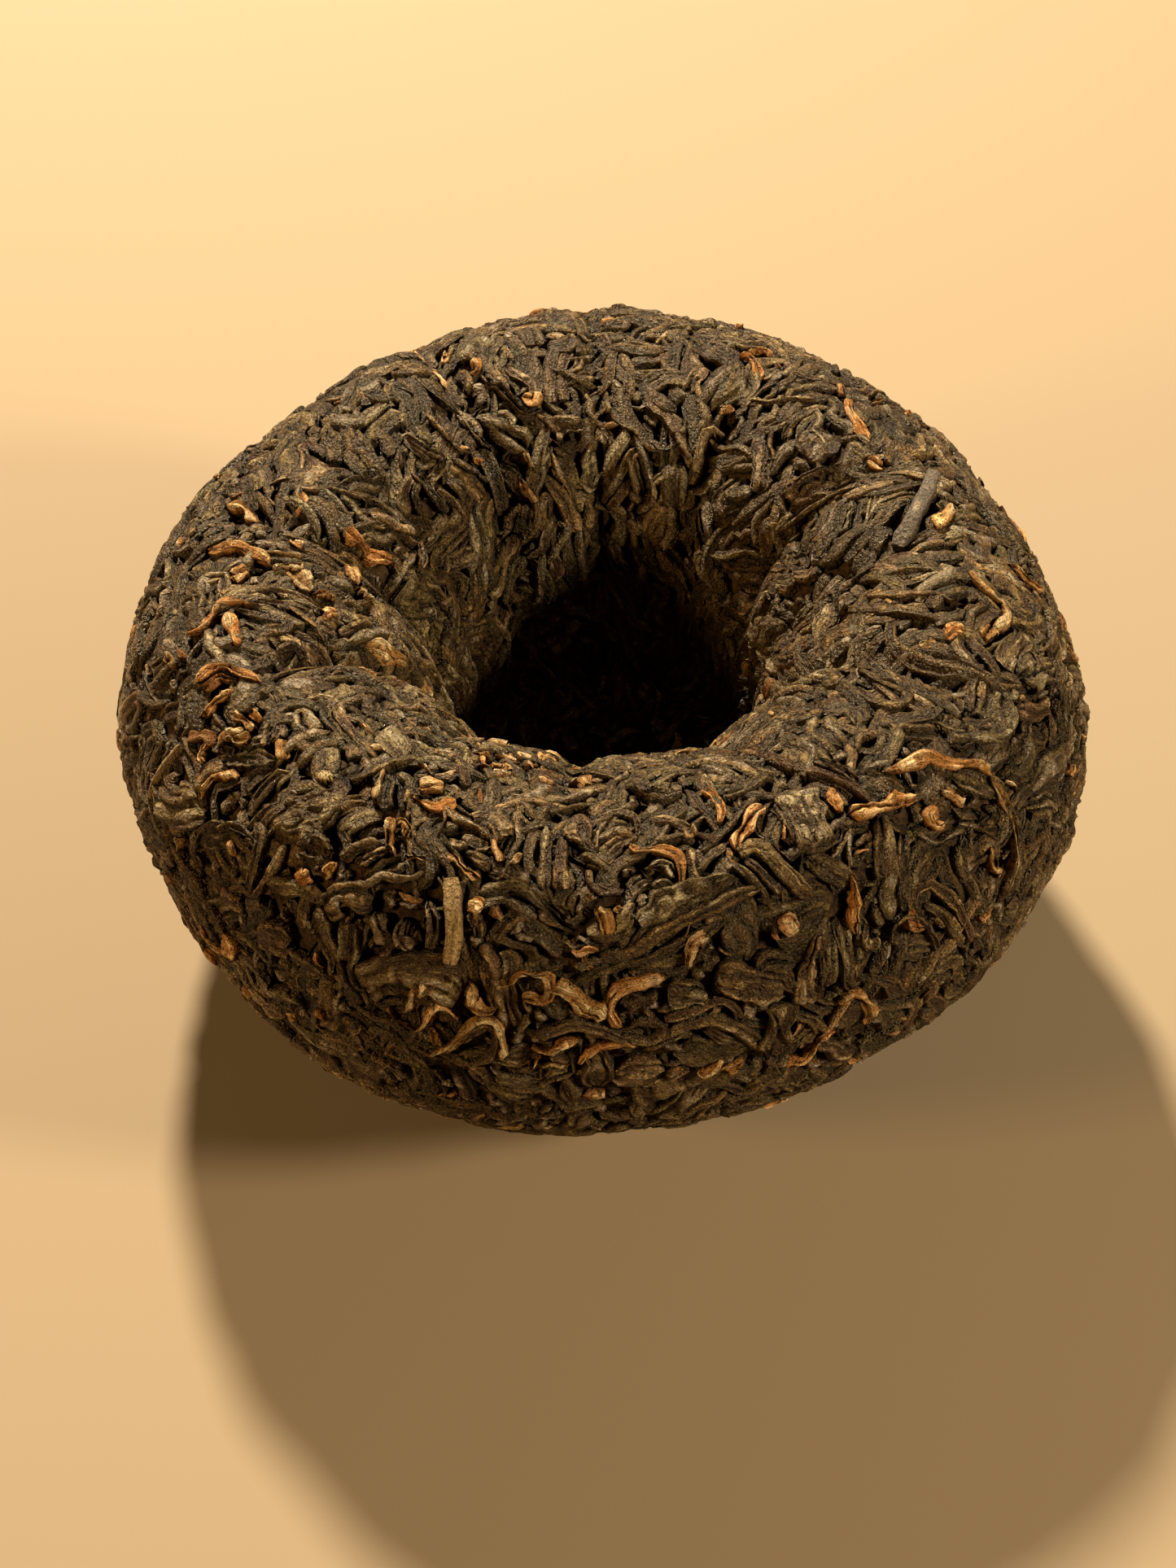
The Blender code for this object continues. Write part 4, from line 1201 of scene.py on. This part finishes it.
def add_camera():
    data = bpy.data.cameras.new("camera")
    data.sensor_width = SENSOR
    data.lens = FOCAL_PIXELS / FRAME_HEIGHT * SENSOR
    data.clip_start, data.clip_end = CLIP
    camera = add_object("camera", data)
    camera.location = Vector((CAMERA_TARGET + CAMERA_BACK * CAMERA_DISTANCE) * MM)
    camera.rotation_euler = Vector(CAMERA_BACK).to_track_quat("Z", "Y").to_euler()
    bpy.context.scene.camera = camera


def add_light(name, azimuth, elevation, size, power, colour):
    a, e = math.radians(azimuth), math.radians(elevation)
    away = Vector((math.cos(e) * math.cos(a), math.cos(e) * math.sin(a), math.sin(e)))
    data = bpy.data.lights.new(name, "AREA")
    data.shape = "DISK"
    data.size, data.energy, data.color = size, power, colour
    light = add_object(name, data)
    light.location = away * LIGHT_DISTANCE + Vector((0, 0, LIT_HEIGHT))
    light.rotation_euler = away.to_track_quat("Z", "Y").to_euler()


def add_stage():
    reach = FLOOR_REACH
    corners = [(-reach, -reach, 0), (reach, -reach, 0), (reach, reach, 0), (-reach, reach, 0)]
    mesh = bpy.data.meshes.new("floor")
    mesh.from_pydata(corners, [], [(0, 1, 2, 3)])
    mesh.materials.append(floor_material())
    floor = add_object("floor", mesh)
    world = bpy.data.worlds.new("studio")
    world.use_nodes = True
    background = world.node_tree.nodes["Background"]
    background.inputs["Color"].default_value = WORLD_COLOUR
    background.inputs["Strength"].default_value = WORLD_STRENGTH
    for light in LIGHTS:
        add_light(*light)
    bpy.context.scene.view_settings.view_transform = "Standard"


def main():
    add_camera()
    lay_all()
    dark = leaf_material("pressed_leaf", DARK_STOPS, LEAF_RIDGE_HIGHLIGHT)
    brown = leaf_material("leaf_crumbs", BROWN_STOPS, LEAF_RIDGE_HIGHLIGHT)
    # The colour after the ridges' painted highlight is the painted shade in the grooves.
    gold = leaf_material("golden_tip", GOLD_STOPS, GOLD_RIDGE_HIGHLIGHT, (0.46, 0.30, 0.17), (0.6, 0.8), 0.2,
                         stretch=(0.25, 1.8))
    wood = leaf_material("stem_wood", STEM_STOPS, GOLD_RIDGE_HIGHLIGHT, (0.5, 0.45, 0.4), (0.5, 0.7), 0.3, 0.6)
    core_piece(core_material())
    for kinds, material in (([STRANDS], dark), ([ROLLED], dark), ([RIBBONS, SEEN_LEAVES], dark),
                            ([BROAD, SEEN_FLATS], dark), ([CRUMBS], brown), ([TIPS, SPECKS, SEEN_TIPS], gold),
                            ([STEMS, SEEN_STICKS], wood)):
        leaf_piece(kinds, material)
    add_stage()


main()
